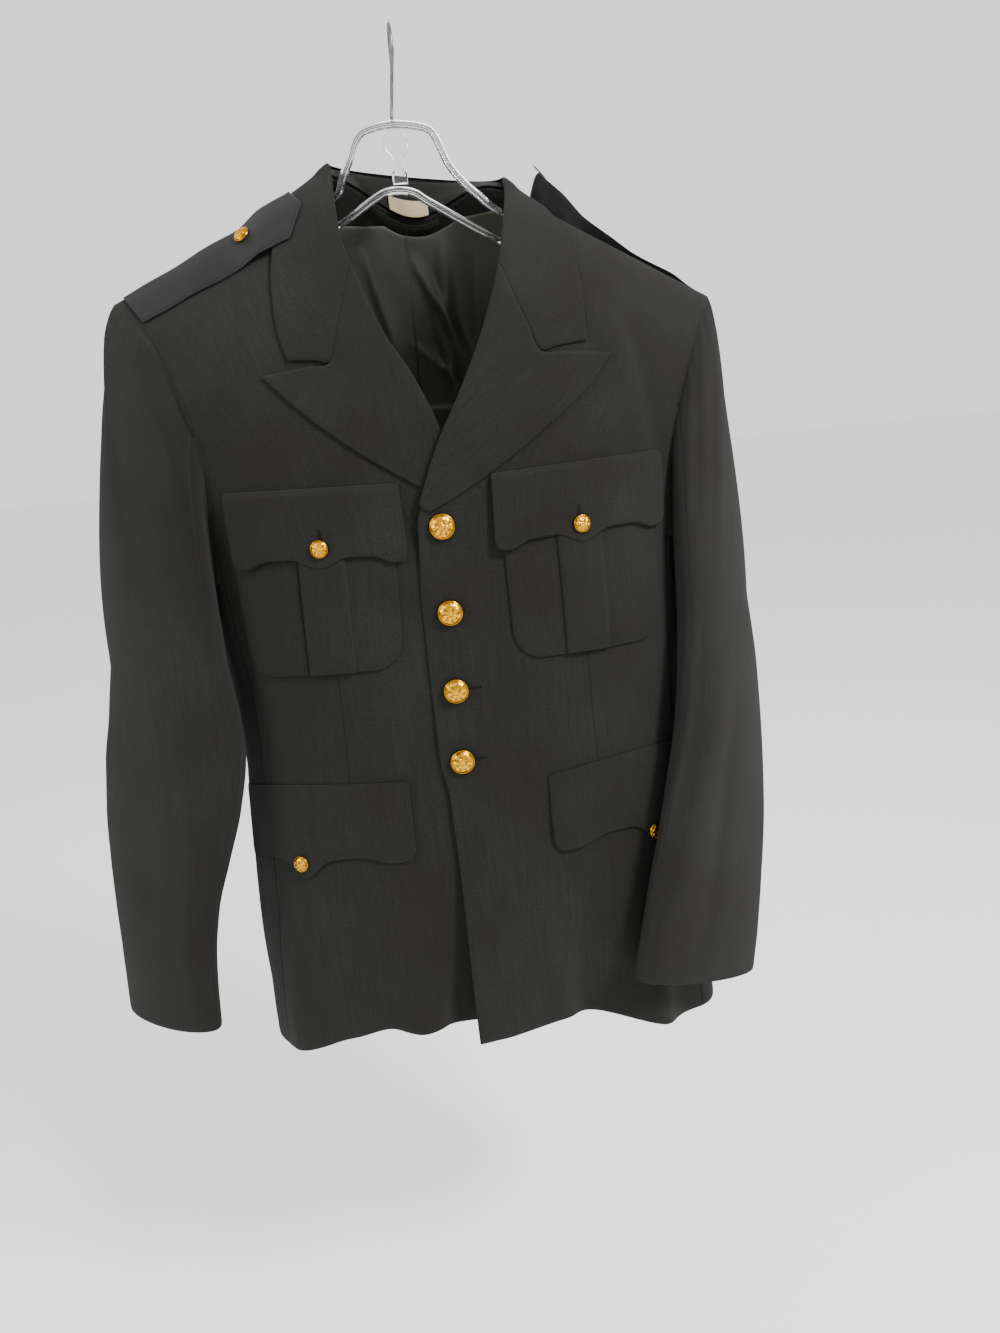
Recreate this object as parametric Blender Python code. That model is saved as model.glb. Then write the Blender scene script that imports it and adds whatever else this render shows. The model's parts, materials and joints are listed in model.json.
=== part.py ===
"""Military jacket on a clear hanger.

X runs to the picture's right (the wearer's left), Y to the back, Z up. The origin
is the inner top of the hook. Every length is in metres, every angle in degrees.
"""

import math

import bpy
import numpy as np

# Cloth and seams
CLOTH = 0.0016
SEAM_GAP = 0.0003
LAY_GAP = 0.0005
LINING = 0.0010
TURNBACK = 0.0011
SEAM_ANGLE = 0.06

# Section of the body: a rounded oblong, |x/w|^n + |y/d|^n = 1
OBLONG = 2.5
BREAK_Z = -0.415
UNDERARM_Z = -0.455
UNDERARM_DIP = 0.020
# Tuck of the covered right front: where it starts, its run, and its depth along the overlap,
# more at the roll and more toward the hem
TUCK_X = 0.076
TUCK_RUN = 0.044
TUCK_DEPTH = 0.0027
TUCK_ROLL = 0.0034
TUCK_HEM = 0.0120
SIDE_SEAM_FRONT = 61.6
SIDE_SEAM_BACK = 121.0
RIDGE_POWER = 0.75

# columns: height, half width on -X, half width on +X, depth to the front, depth to the back
SECTIONS = np.array([
    [-0.960, 0.223, 0.236, 0.127, 0.124],
    [-0.900, 0.223, 0.232, 0.125, 0.121],
    [-0.830, 0.221, 0.226, 0.120, 0.113],
    [-0.760, 0.217, 0.223, 0.114, 0.103],
    [-0.690, 0.214, 0.221, 0.109, 0.094],
    [-0.620, 0.214, 0.220, 0.107, 0.090],
    [-0.550, 0.217, 0.221, 0.110, 0.097],
    [-0.480, 0.223, 0.223, 0.112, 0.107],
    [-0.415, 0.231, 0.231, 0.110, 0.114],
    [-0.340, 0.255, 0.258, 0.110, 0.117],
    [-0.277, 0.280, 0.292, 0.110, 0.117],
    [-0.190, 0.312, 0.325, 0.110, 0.117],
    [-0.080, 0.330, 0.345, 0.110, 0.117],
])

# columns: angle from the front centre, hem height on -X, hem height on +X
HEM = np.array([
    [-8.0, -0.891, -0.900],
    [0.0, -0.889, -0.899],
    [12.0, -0.889, -0.896],
    [22.0, -0.887, -0.901],
    [35.0, -0.894, -0.921],
    [50.0, -0.906, -0.930],
    [75.0, -0.917, -0.942],
    [100.0, -0.926, -0.950],
    [140.0, -0.932, -0.946],
    [180.0, -0.936, -0.936],
])

# Folds that open toward the hem
# columns: side, angle of the middle, half spread, depth outward, height where it starts
HEM_FOLDS = np.array([
    [-1, 49.0, 11.0, 0.011, -0.740],
    [-1, 26.0, 7.0, -0.011, -0.760],
    [-1, 13.0, 6.0, 0.004, -0.760],
    [-1, 138.0, 9.0, -0.010, -0.700],
    [-1, 160.0, 9.0, 0.010, -0.660],
    [1, -4.0, 7.0, 0.012, -0.700],
    [1, 20.0, 7.5, -0.020, -0.760],
    [1, 34.0, 8.0, 0.014, -0.740],
    [1, 54.0, 9.0, -0.006, -0.760],
    [1, 136.0, 9.0, -0.009, -0.700],
    [1, 158.0, 9.0, 0.011, -0.660],
])

# Shoulder ridge per side: distance and height of the neck point, fall per metre outward
SHOULDERS = {
    -1: {"neck_x": 0.066, "neck_z": -0.115, "fall": 0.455},
    1: {"neck_x": 0.088, "neck_z": -0.137, "fall": 0.578},
}
RIDGE_MIDDLE_Z = -0.086
NECK_MIDDLE_X = 0.011
NECK_HALF_WIDTH = 0.077
NECK_BACK_Z = -0.145

# Armhole: columns rise (0 chest line, 1 ridge), |x| in front, |x| behind
ARMHOLE = {
    -1: np.array([
        [0.00, 0.203, 0.213],
        [0.24, 0.198, 0.216],
        [0.40, 0.206, 0.222],
        [0.60, 0.220, 0.232],
        [0.85, 0.244, 0.249],
        [1.00, 0.265, 0.265],
    ]),
    1: np.array([
        [0.00, 0.205, 0.214],
        [0.24, 0.210, 0.220],
        [0.54, 0.229, 0.238],
        [0.72, 0.242, 0.249],
        [0.81, 0.250, 0.254],
        [1.00, 0.268, 0.268],
    ]),
}

# Inner edge of the front: below the break it is the front edge, above it the roll line
# columns: height, x
FRONT_EDGE = {
    1: np.array([
        [-0.960, -0.019],
        [-0.900, -0.020],
        [-0.666, -0.024],
        [-0.630, -0.029],
        [-0.500, -0.030],
        [-0.415, -0.025],
    ]),
    -1: np.array([
        [-0.960, 0.002],
        [-0.760, 0.012],
        [-0.640, 0.018],
        [-0.415, 0.018],
    ]),
}
ROLL_LINE = {
    1: np.array([
        [-0.415, -0.025],
        [-0.358, -0.001],
        [-0.319, 0.021],
        [-0.268, 0.047],
        [-0.217, 0.067],
        [-0.188, 0.077],
        [-0.137, 0.088],
        [-0.080, 0.090],
    ]),
    -1: np.array([
        [-0.415, 0.018],
        [-0.343, 0.001],
        [-0.294, -0.018],
        [-0.261, -0.036],
        [-0.200, -0.057],
        [-0.177, -0.064],
        [-0.119, -0.066],
        [-0.080, -0.066],
    ]),
}

# Rows of the panels, as shares of the way up
LOWER_ROWS = [0.0, 0.07, 0.15, 0.24, 0.33, 0.43, 0.53, 0.63, 0.73, 0.82, 0.91, 1.0]
UPPER_ROWS = [0.0, 0.18, 0.36, 0.54, 0.70, 0.84, 0.93, 1.0]
FRONT_COLUMNS = 11
SIDE_COLUMNS = 5
BACK_COLUMNS = 8

# Lapel corners in the front view: columns x, height
LAPEL = {
    1: {
        "gorge": (0.0680, -0.2140),
        "notch": (0.0940, -0.2870),
        "outer": np.array([
            [-0.024, -0.4140],
            [0.006, -0.4010],
            [0.040, -0.3830],
            [0.092, -0.3500],
            [0.138, -0.3140],
            [0.156, -0.2930],
        ]),
    },
    -1: {
        "gorge": (-0.0560, -0.2030),
        "notch": (-0.0810, -0.2820),
        "outer": np.array([
            [0.018, -0.4120],
            [-0.016, -0.3910],
            [-0.072, -0.3520],
            [-0.097, -0.3310],
            [-0.118, -0.3110],
            [-0.139, -0.2880],
        ]),
    },
}
LAPEL_ROWS = [0.05, 0.20, 0.36, 0.52, 0.68, 0.84, 1.0]
ROLL_HEIGHT = 0.0042
ROLL_OVER = 0.0030
BACK_ROLL_OVER = 0.0026
FALL_WAY_SHARE = 1.0
TURN_RUN = 0.0070
ROLL_FLAT_SHARE = 0.62
ROLL_PUFF = 0.022
LAPEL_EASE = {-1: 0.0010, 1: 0.0003}

# Collar fall in front: columns fold x, fold height, middle x, middle height, outer x, outer height
COLLAR_FRONT = {
    1: np.array([
        [0.0688, -0.2115, 0.0950, -0.2835, 0.1365, -0.2790],
        [0.0715, -0.2030, 0.1020, -0.2590, 0.1385, -0.2580],
        [0.0750, -0.1920, 0.1050, -0.2290, 0.1395, -0.2330],
        [0.0795, -0.1770, 0.1085, -0.2010, 0.1385, -0.2080],
        [0.0845, -0.1580, 0.1100, -0.1760, 0.1340, -0.1850],
        [0.0880, -0.1430, 0.1080, -0.1560, 0.1270, -0.1680],
    ]),
    -1: np.array([
        [-0.0570, -0.2005, -0.0815, -0.2780, -0.1170, -0.2750],
        [-0.0595, -0.1920, -0.0880, -0.2520, -0.1225, -0.2520],
        [-0.0625, -0.1810, -0.0920, -0.2220, -0.1240, -0.2270],
        [-0.0645, -0.1650, -0.0950, -0.1930, -0.1230, -0.2020],
        [-0.0655, -0.1420, -0.0940, -0.1620, -0.1180, -0.1720],
        [-0.0660, -0.1210, -0.0880, -0.1340, -0.1110, -0.1450],
    ]),
}
COLLAR_RIDGE_X = {-1: 0.103, 1: 0.121}
COLLAR_LIFT_START = -0.190
COLLAR_LIFT_RUN = 0.050
COLLAR_LIFT = 0.0018
COLLAR_RIDGE_LIFT = 0.0024
COLLAR_RIDGE_ARCH = 0.0030
COLLAR_BACK_ANGLES = [0.0, 15.0, 30.0, 45.0, 60.0, 75.0, 90.0, 105.0, 120.0, 135.0, 150.0, 165.0, 180.0]
STAND_LIFT = 0.0011
STAND_ROWS = [0.0, 0.31, 0.62, 0.91]
FOLD_DEPTH_Y = 0.058
FOLD_SIDE_Y = 0.006
FOLD_RISE = 0.011
FALL_BACK_Z = -0.158
FALL_SPREAD_X = 0.106

# Breast pockets and flaps: |x| inner and outer, heights
POCKETS = {
    1: {"inner": 0.0450, "outer": 0.1860, "top": -0.390, "bottom": -0.546, "pleat": 0.1110, "skew": 0.002},
    -1: {"inner": 0.0450, "outer": 0.1850, "top": -0.390, "bottom": -0.541, "pleat": 0.1075, "skew": 0.005},
}
POCKET_CORNER = 0.026
PLEAT_HALF = 0.0200
PLEAT_LIFT = 0.0016
PLEAT_STEP = 0.0005
BREAST_FLAPS = {
    1: {"inner": 0.0400, "outer": 0.1950, "top_in": -0.3830, "top_out": -0.3770},
    -1: {"inner": 0.0380, "outer": 0.1860, "top_in": -0.3830, "top_out": -0.3780},
}
FLAP_POCKET_LIFT = 0.0041
# Lower edge of a flap: columns share of the width, drop below the top edge
BREAST_FLAP_EDGE = np.array([
    [0.00, 0.0580],
    [0.03, 0.0655],
    [0.08, 0.0665],
    [0.20, 0.0600],
    [0.34, 0.0595],
    [0.50, 0.0685],
    [0.66, 0.0595],
    [0.80, 0.0600],
    [0.92, 0.0665],
    [0.97, 0.0655],
    [1.00, 0.0580],
])

# Lower flaps: angle inner and outer, height of the top edge at the ends
LOWER_FLAPS = {
    1: {"inner": 13.0, "outer": 77.0, "top_in": -0.6570, "top_mid": -0.6490, "top_out": -0.6620},
    -1: {"inner": 11.6, "outer": 77.0, "top_in": -0.6460, "top_mid": -0.6440, "top_out": -0.6520},
}
LOWER_FLAP_EDGE = np.array([
    [0.00, 0.0650],
    [0.025, 0.0745],
    [0.08, 0.0760],
    [0.22, 0.0700],
    [0.36, 0.0730],
    [0.50, 0.0900],
    [0.64, 0.0730],
    [0.78, 0.0700],
    [0.92, 0.0760],
    [0.975, 0.0745],
    [1.00, 0.0650],
])

# Sleeves: columns height, |x| of the middle, y of the middle, half width, half thickness, turn
SLEEVES = {
    -1: np.array([
        [-0.530, 0.2680, -0.034, 0.0795, 0.0320, 46.0],
        [-0.575, 0.2695, -0.036, 0.0830, 0.0325, 51.0],
        [-0.620, 0.2745, -0.040, 0.0845, 0.0320, 55.0],
        [-0.665, 0.2825, -0.045, 0.0820, 0.0300, 55.0],
        [-0.710, 0.2920, -0.050, 0.0765, 0.0270, 53.0],
        [-0.755, 0.3010, -0.055, 0.0710, 0.0240, 50.0],
        [-0.800, 0.3060, -0.060, 0.0690, 0.0220, 48.0],
        [-0.835, 0.3080, -0.063, 0.0680, 0.0205, 48.0],
        [-0.864, 0.3090, -0.066, 0.0680, 0.0195, 48.0],
    ]),
    1: np.array([
        [-0.530, 0.2530, -0.030, 0.0700, 0.0245, 38.0],
        [-0.580, 0.2510, -0.040, 0.0710, 0.0245, 42.0],
        [-0.630, 0.2455, -0.051, 0.0720, 0.0245, 46.0],
        [-0.680, 0.2370, -0.063, 0.0735, 0.0240, 51.0],
        [-0.730, 0.2270, -0.076, 0.0740, 0.0230, 56.0],
        [-0.775, 0.2160, -0.089, 0.0740, 0.0215, 60.0],
        [-0.815, 0.2060, -0.100, 0.0730, 0.0200, 63.0],
        [-0.846, 0.1980, -0.108, 0.0720, 0.0190, 65.0],
        [-0.871, 0.1920, -0.114, 0.0720, 0.0180, 65.0],
    ]),
}
CUFF_TILT = {-1: 0.10, 1: 0.30}
SLEEVE_CAP_ROWS = [0.16, 0.34, 0.54, 0.76]
SLEEVE_HEAD_LIFT = 0.0040
SLEEVE_SEAM_STEP = 0.0009
# Share of the way down at which the crown of the sleeve turns over
SLEEVE_BEND = 0.14
# Place of each armhole point on the sleeve's round: front from the tip down, then bottom, then back up
FRONT_PLACES = [90.0, 78.0, 65.0, 49.0, 30.0, 9.0, -13.0, -34.0, -50.0]
BOTTOM_PLACES = [-66.0, -82.0, -98.0, -114.0]
BACK_PLACES = [-130.0, -146.0, -168.0, -189.0, -210.0, -229.0, -245.0, -258.0]
SLEEVE_SEAM_FRONT = 5
SLEEVE_SEAM_BACK = 16
# Creases of the sleeves: columns side, place at the top, place at the foot, height top, height foot,
# half spread, depth outward
SLEEVE_CREASES = np.array([
    [-1, 70.0, 18.0, -0.225, -0.390, 13.0, 0.0065],
    [-1, 42.0, 2.0, -0.225, -0.330, 11.0, -0.0060],
    [-1, 60.0, 40.0, -0.600, -0.860, 16.0, 0.0040],
    [-1, 20.0, 14.0, -0.640, -0.850, 13.0, -0.0035],
    [1, 62.0, 40.0, -0.560, -0.860, 16.0, 0.0035],
])

# Shoulder loops: distance out at the sleeve and at the neck, width at both ends, and the
# lift of the loop that stands up at its neck end
LOOP_SLEEVE_X = 0.259
LOOP_NECK_X = {-1: 0.090, 1: 0.093}
LOOP_POINT = 0.012
LOOP_DROP_SLEEVE = 0.036
LOOP_DROP_NECK = 0.044
LOOP_LIFT = 0.0008
LOOP_COLLAR_LIFT = 0.0050
LOOP_RAISED_END = 0.032
LOOP_SLANT = 0.020
LOOP_FLICK = 0.022

# Lining seen in the neck: its columns, with a step at the centre pleat, and its place behind the cloth
LINING_COLUMNS = [-0.135, -0.100, -0.066, -0.034, -0.0045, -0.0030, 0.020, 0.050, 0.088, 0.110, 0.135]
LINING_ROWS = [0.0, 0.2, 0.4, 0.6, 0.8, 0.93, 1.0]
LINING_FOOT_Z = -0.440
LINING_TOP_DROP = 0.014
LINING_SPACE = 0.0020
LINING_PLEAT = 0.0016

# Blank label on the stand: ends, and edges as shares of the stand's height
LABEL_LEFT = -0.0175
LABEL_RIGHT = 0.0215
LABEL_TOP = 0.40
LABEL_FOOT = -0.03
LABEL_THICKNESS = 0.0008
LABEL_GAP = 0.0021

# Cloth hang loop under the label
HANG_LOOP_LEFT = -0.036
HANG_LOOP_RIGHT = 0.030
# Drops below the neck seam of the hang loop's upper and lower edge
HANG_LOOP_DROPS = [0.0090, 0.0040]
HANG_LOOP_GAP = 0.0018
HANG_LOOP_THICKNESS = 0.0012

# Buttons
LARGE_BUTTON = 0.0229
SMALL_BUTTON = 0.0159
BUTTON_DOME = 0.30
BUTTON_GAP = 0.0008
# columns: x, height
FRONT_BUTTONS = [(-0.005, -0.4230), (-0.006, -0.4970), (-0.008, -0.5670), (-0.009, -0.6330)]
BREAST_BUTTON = {-1: (0.1085, -0.4315), 1: (0.1140, -0.4330)}
LOWER_BUTTON = {-1: (0.1640, -0.7190), 1: (0.1655, -0.7310)}
LOWER_BUTTON_LIFT = 0.0012

# Hanger
BAR_RADIUS = 0.0038
ARM_DROP = 0.0021
WIRE_RADIUS = 0.0015
HOOK_RADIUS = 0.0205
ARM_TIP_X = {-1: 0.205, 1: 0.205}
# Outline of the middle of the bar over the neck: columns x, height
HANGER_CROWN = np.array([
    [-0.0640, -0.1320],
    [-0.0560, -0.1190],
    [-0.0470, -0.1030],
    [-0.0400, -0.0880],
    [-0.0300, -0.0800],
    [-0.0050, -0.0765],
    [0.0220, -0.0810],
    [0.0310, -0.0900],
    [0.0400, -0.1120],
    [0.0510, -0.1270],
    [0.0620, -0.1380],
    [0.0820, -0.1540],
])
HANGER_FOOT = np.array([
    [-0.0650, -0.1560],
    [-0.0300, -0.1375],
    [-0.0180, -0.1320],
    [-0.0050, -0.1310],
    [0.0080, -0.1345],
    [0.0220, -0.1440],
    [0.0830, -0.1800],
])
HOOK_BASE = (-0.0060, 0.0, -0.0722)
# Centre strut: columns height, half width
HANGER_STRUT = np.array([
    [-0.0812, 0.0050],
    [-0.0880, 0.0100],
    [-0.0960, 0.0110],
    [-0.1010, 0.0080],
    [-0.1060, 0.0045],
    [-0.1130, 0.0045],
    [-0.1180, 0.0070],
    [-0.1266, 0.0065],
])
STRUT_X = -0.0050
STRUT_LEAN = 0.02
STRUT_THICKNESS = 0.0040

# Surface colours: base colour, roughness, metallic
FINISHES = {
    "wool": ((0.036, 0.037, 0.032), 0.85, 0.0),
    "satin": ((0.055, 0.058, 0.060), 0.55, 0.0),
    "lining": ((0.040, 0.045, 0.032), 0.60, 0.0),
    "label": ((0.560, 0.500, 0.400), 0.80, 0.0),
    "gold": ((0.830, 0.560, 0.130), 0.25, 1.0),
    "clear": ((0.780, 0.780, 0.760), 0.10, 0.0),
    "wire": ((0.420, 0.430, 0.440), 0.30, 1.0),
}


def table(rows, value, column):
    """Value of one column of a table at a given first-column value."""
    return np.interp(value, rows[:, 0], rows[:, column])


def smooth(value):
    """Ease from 0 to 1 for a value that runs from 0 to 1."""
    value = np.clip(value, 0.0, 1.0)
    return value * value * (3.0 - 2.0 * value)


def ridge_height(side, x):
    """Height of the shoulder ridge above a distance from the middle."""
    shoulder = SHOULDERS[side]
    line = shoulder["neck_z"] - shoulder["fall"] * (x - shoulder["neck_x"])
    share = smooth(x / shoulder["neck_x"])
    return line * share + RIDGE_MIDDLE_Z * (1.0 - share)


def half_width(side, height):
    """Half width of the body at a height."""
    return table(SECTIONS, height, 1 if side < 0 else 2)


def angle_at(side, x, height):
    """Angle from the front centre of the point at a distance x outward."""
    share = np.clip(x / half_width(side, height), -0.999, 0.999)
    turn = np.abs(share) ** (OBLONG / 2.0)
    return np.degrees(np.arcsin(turn)) * np.sign(share)


def shell(side, angle, height):
    """Point of the outer face at an angle from the front centre and a height."""
    angle = np.asarray(angle, dtype=float)
    height = np.asarray(height, dtype=float)
    across = np.sin(np.radians(angle))
    along = np.cos(np.radians(angle))
    x = half_width(side, height) * np.sign(across) * np.abs(across) ** (2.0 / OBLONG)
    ridge = ridge_height(side, np.abs(x))
    rise = np.clip((height - BREAK_Z) / (ridge - BREAK_Z), 0.0, 1.0)
    ease = np.sin(math.pi / 2.0 * (1.0 - rise) ** RIDGE_POWER)
    depth = np.where(along > 0.0, -table(SECTIONS, height, 3), table(SECTIONS, height, 4))
    y = depth * np.abs(along) ** (2.0 / OBLONG) * ease
    lift = np.zeros_like(x)
    for own, middle, spread, reach, start in HEM_FOLDS:
        if own == side:
            grow = smooth((start - height) / (start + 0.905))
            lift = lift + reach * grow * np.exp(-(((angle - middle) / spread) ** 2))
    radius = np.maximum(np.hypot(x, y), 0.05)
    return np.stack([side * x * (1.0 + lift / radius), y * (1.0 + lift / radius),
                     height + 0.0 * x], axis=-1)


def outward(side, angle, height):
    """Outward direction of the outer face."""
    step = 0.6
    drop = 0.004
    around = shell(side, angle + step, height) - shell(side, angle - step, height)
    up = shell(side, angle, height) - shell(side, angle, height - drop)
    normal = np.cross(around, up) * side
    return normal / np.linalg.norm(normal, axis=-1, keepdims=True)


def on_body(side, angle, height, out=0.0):
    """Point at an angle and a height, moved out from the cloth."""
    out = np.asarray(out, dtype=float)[..., None]
    return shell(side, angle, height) + outward(side, angle, height) * out


def on_front(side, x, height, out=0.0):
    """Point of the front at a distance x outward and a height, moved out from the cloth."""
    return on_body(side, angle_at(side, x, height), height, out)


def on_back(side, x, height, out=0.0):
    """Point of the back at a distance x outward and a height, moved out from the cloth."""
    return on_body(side, 180.0 - angle_at(side, x, height), height, out)


def hem_height(side, angle):
    """Height of the hem at an angle."""
    return table(HEM, angle, 1 if side < 0 else 2)


def underarm_height(angle):
    """Height of the foot of the armhole at an angle."""
    span = SIDE_SEAM_BACK - SIDE_SEAM_FRONT
    share = np.clip((angle - SIDE_SEAM_FRONT) / span, 0.0, 1.0)
    return UNDERARM_Z - UNDERARM_DIP * np.sin(math.pi * share)


def under_front(side, x, height):
    """How far the wearer's right front lies inside the other one, which covers it."""
    if side > 0:
        return 0.0 * x
    inward = smooth((TUCK_X - x) / TUCK_RUN)
    upper = smooth((height + 0.450) / 0.030)
    lower = smooth((-0.700 - height) / 0.200)
    return -inward * (TUCK_DEPTH + TUCK_ROLL * upper + TUCK_HEM * lower)


def place_front(side, x, height, out=0.0):
    """Point of a front panel, with the tuck of the covered edge."""
    return on_front(side, x, height, out + under_front(side, x, height))


def neckline_height(side, x):
    """Height of the neck seam on the back."""
    share = np.clip((side * x - NECK_MIDDLE_X) / NECK_HALF_WIDTH, -1.0, 1.0) ** 2
    return NECK_BACK_Z * (1.0 - share) + ridge_height(side, x) * share


scene_collection = bpy.context.scene.collection


def clear_scene():
    """Take away whatever the scene holds."""
    for item in list(bpy.data.objects):
        bpy.data.objects.remove(item, do_unlink=True)


def make_collection(name):
    """New collection in the scene."""
    collection = bpy.data.collections.new(name)
    scene_collection.children.link(collection)
    return collection


def make_material(name, finish):
    """Plain material of one of the finishes."""
    colour, rough, metal = FINISHES[finish]
    material = bpy.data.materials.new(name)
    material.use_nodes = True
    shader = material.node_tree.nodes["Principled BSDF"]
    shader.inputs["Base Color"].default_value = (*colour, 1.0)
    shader.inputs["Roughness"].default_value = rough
    shader.inputs["Metallic"].default_value = metal
    material.diffuse_color = (*colour, 1.0)
    return material


def mesh_object(name, points, faces, finish, collection):
    """Object with one material from points and faces."""
    mesh = bpy.data.meshes.new(name)
    mesh.from_pydata([tuple(map(float, p)) for p in points], [], faces)
    mesh.validate()
    mesh.update()
    item = bpy.data.objects.new(name, mesh)
    collection.objects.link(item)
    mesh.materials.append(make_material(name, finish))
    for polygon in mesh.polygons:
        polygon.use_smooth = True
    return item


def grid_normals(grid, hint):
    """Outward direction at each point of a grid; the hint tells which side faces out."""
    along = np.gradient(grid, axis=0)
    across = np.gradient(grid, axis=1)
    normal = np.cross(across, along)
    normal /= np.maximum(np.linalg.norm(normal, axis=-1, keepdims=True), 1e-9)
    middle = normal[grid.shape[0] // 2, grid.shape[1] // 2]
    return normal if float(np.dot(middle, hint)) > 0.0 else -normal


def cloth_sheet(name, grid, normals, finish, collection, thickness=CLOTH):
    """Closed cloth of even thickness under a grid of outer points, rows by columns."""
    rows, columns = grid.shape[:2]
    inner = grid - normals * thickness
    points = np.concatenate([grid.reshape(-1, 3), inner.reshape(-1, 3)])
    below = rows * columns
    faces = []
    for r in range(rows - 1):
        for c in range(columns - 1):
            near = r * columns + c
            far = near + columns
            rising = np.linalg.norm(grid[r + 1, c + 1] - grid[r, c])
            falling = np.linalg.norm(grid[r + 1, c] - grid[r, c + 1])
            if rising <= falling:
                halves = [(near, near + 1, far + 1), (near, far + 1, far)]
            else:
                halves = [(near, near + 1, far), (near + 1, far + 1, far)]
            faces += halves
            faces += [tuple(below + v for v in half[::-1]) for half in halves]
    top = (rows - 1) * columns
    for c in range(columns - 1):
        faces.append((c + 1, c, below + c, below + c + 1))
        faces.append((top + c, top + c + 1, below + top + c + 1, below + top + c))
    for r in range(rows - 1):
        left = r * columns
        right = left + columns - 1
        faces.append((left, left + columns, below + left + columns, below + left))
        faces.append((right + columns, right, below + right, below + right + columns))
    first = np.cross(grid[0, 1] - grid[0, 0], grid[1, 0] - grid[0, 0])
    if float(np.dot(first, normals[0, 0])) < 0.0:
        faces = [face[::-1] for face in faces]
    return mesh_object(name, points, faces, finish, collection)


def laid_sheet(name, grid, hint, finish, collection, thickness=CLOTH):
    """Cloth sheet whose outward directions come from its own points."""
    return cloth_sheet(name, grid, grid_normals(grid, hint), finish, collection, thickness)


def panel_walls(rows, seam_y=None):
    """Points and outward directions of a panel from its rows; a shoulder seam stands upright."""
    points = np.array([row[0] for row in rows])
    normals = np.array([row[1] for row in rows])
    if seam_y is not None:
        points[-1, :, 1] += seam_y
        normals[-1] = (0.0, 0.0, 1.0)
    return points, normals


def front_walls(side):
    """Points and outward directions of a front panel, from the hem to the shoulder seam."""
    rows = []
    seam = math.sin(math.radians(SIDE_SEAM_FRONT - SEAM_ANGLE)) ** (2.0 / OBLONG)
    shares = np.linspace(0.0, 1.0, FRONT_COLUMNS + 1)
    for share in LOWER_ROWS:
        height = hem_height(side, 60.0 * shares) * (1.0 - share) + UNDERARM_Z * share
        for _ in range(4):
            inner = side * table(FRONT_EDGE[side], height[0], 1)
            x = inner + (half_width(side, height[-1]) * seam - inner) * shares
            foot = hem_height(side, angle_at(side, x, height))
            height = foot * (1.0 - share) + UNDERARM_Z * share
        rows.append((place_front(side, x, height), outward(side, angle_at(side, x, height), height)))
    for share in UPPER_ROWS:
        outer = table(ARMHOLE[side], share, 1)
        height = BREAK_Z
        for _ in range(12):
            inner = side * table(ROLL_LINE[side], height, 1)
            height = BREAK_Z + share * (ridge_height(side, abs(inner)) - BREAK_Z)
        if share == 1.0:
            inner = SHOULDERS[side]["neck_x"]
        x = inner + (outer - inner) * shares
        height = BREAK_Z + share * (ridge_height(side, np.abs(x)) - BREAK_Z)
        rows.append((place_front(side, x, height), outward(side, angle_at(side, x, height), height)))
    return panel_walls(rows, -SEAM_GAP / 2.0)


def side_walls(side):
    """Points and outward directions of a side panel, from the hem to the armhole."""
    rows = []
    angle = np.linspace(SIDE_SEAM_FRONT + SEAM_ANGLE, SIDE_SEAM_BACK - SEAM_ANGLE, SIDE_COLUMNS + 1)
    for share in LOWER_ROWS:
        height = hem_height(side, angle) * (1.0 - share) + underarm_height(angle) * share
        rows.append((on_body(side, angle, height), outward(side, angle, height)))
    return panel_walls(rows)


def back_walls(side):
    """Points and outward directions of a back panel, from the hem to the neck and shoulder."""
    rows = []
    shares = np.linspace(0.0, 1.0, BACK_COLUMNS + 1)
    seam = math.sin(math.radians(SIDE_SEAM_BACK + SEAM_ANGLE)) ** (2.0 / OBLONG)
    inner = SEAM_GAP / 2.0
    for share in LOWER_ROWS:
        height = hem_height(side, 180.0 - 60.0 * shares) * (1.0 - share) + UNDERARM_Z * share
        for _ in range(4):
            x = inner + (half_width(side, height[-1]) * seam - inner) * shares
            foot = hem_height(side, 180.0 - angle_at(side, x, height))
            height = foot * (1.0 - share) + UNDERARM_Z * share
        angle = 180.0 - angle_at(side, x, height)
        rows.append((on_body(side, angle, height), outward(side, angle, height)))
    for share in UPPER_ROWS:
        neck = SHOULDERS[side]["neck_x"]
        x = bend_columns(shares, neck, table(ARMHOLE[side], share, 2))
        top = np.where(x < neck, neckline_height(side, x), ridge_height(side, x))
        height = BREAK_Z + share * (top - BREAK_Z)
        angle = 180.0 - angle_at(side, x, height)
        rows.append((on_body(side, angle, height), outward(side, angle, height)))
    points, normals = panel_walls(rows)
    shoulder = np.abs(points[-1, :, 0]) >= SHOULDERS[side]["neck_x"] - 0.001
    points[-1, shoulder, 1] += SEAM_GAP
    normals[-1, shoulder] = (0.0, 0.0, 1.0)
    return points, normals


def bend_columns(shares, neck, outer):
    """Columns of the back, with one column on the neck point."""
    near = int(round(neck / outer * (len(shares) - 1)))
    inner = np.linspace(SEAM_GAP / 2.0, neck, near + 1)
    rest = np.linspace(neck, outer, len(shares) - near)
    return np.concatenate([inner, rest[1:]])


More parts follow.
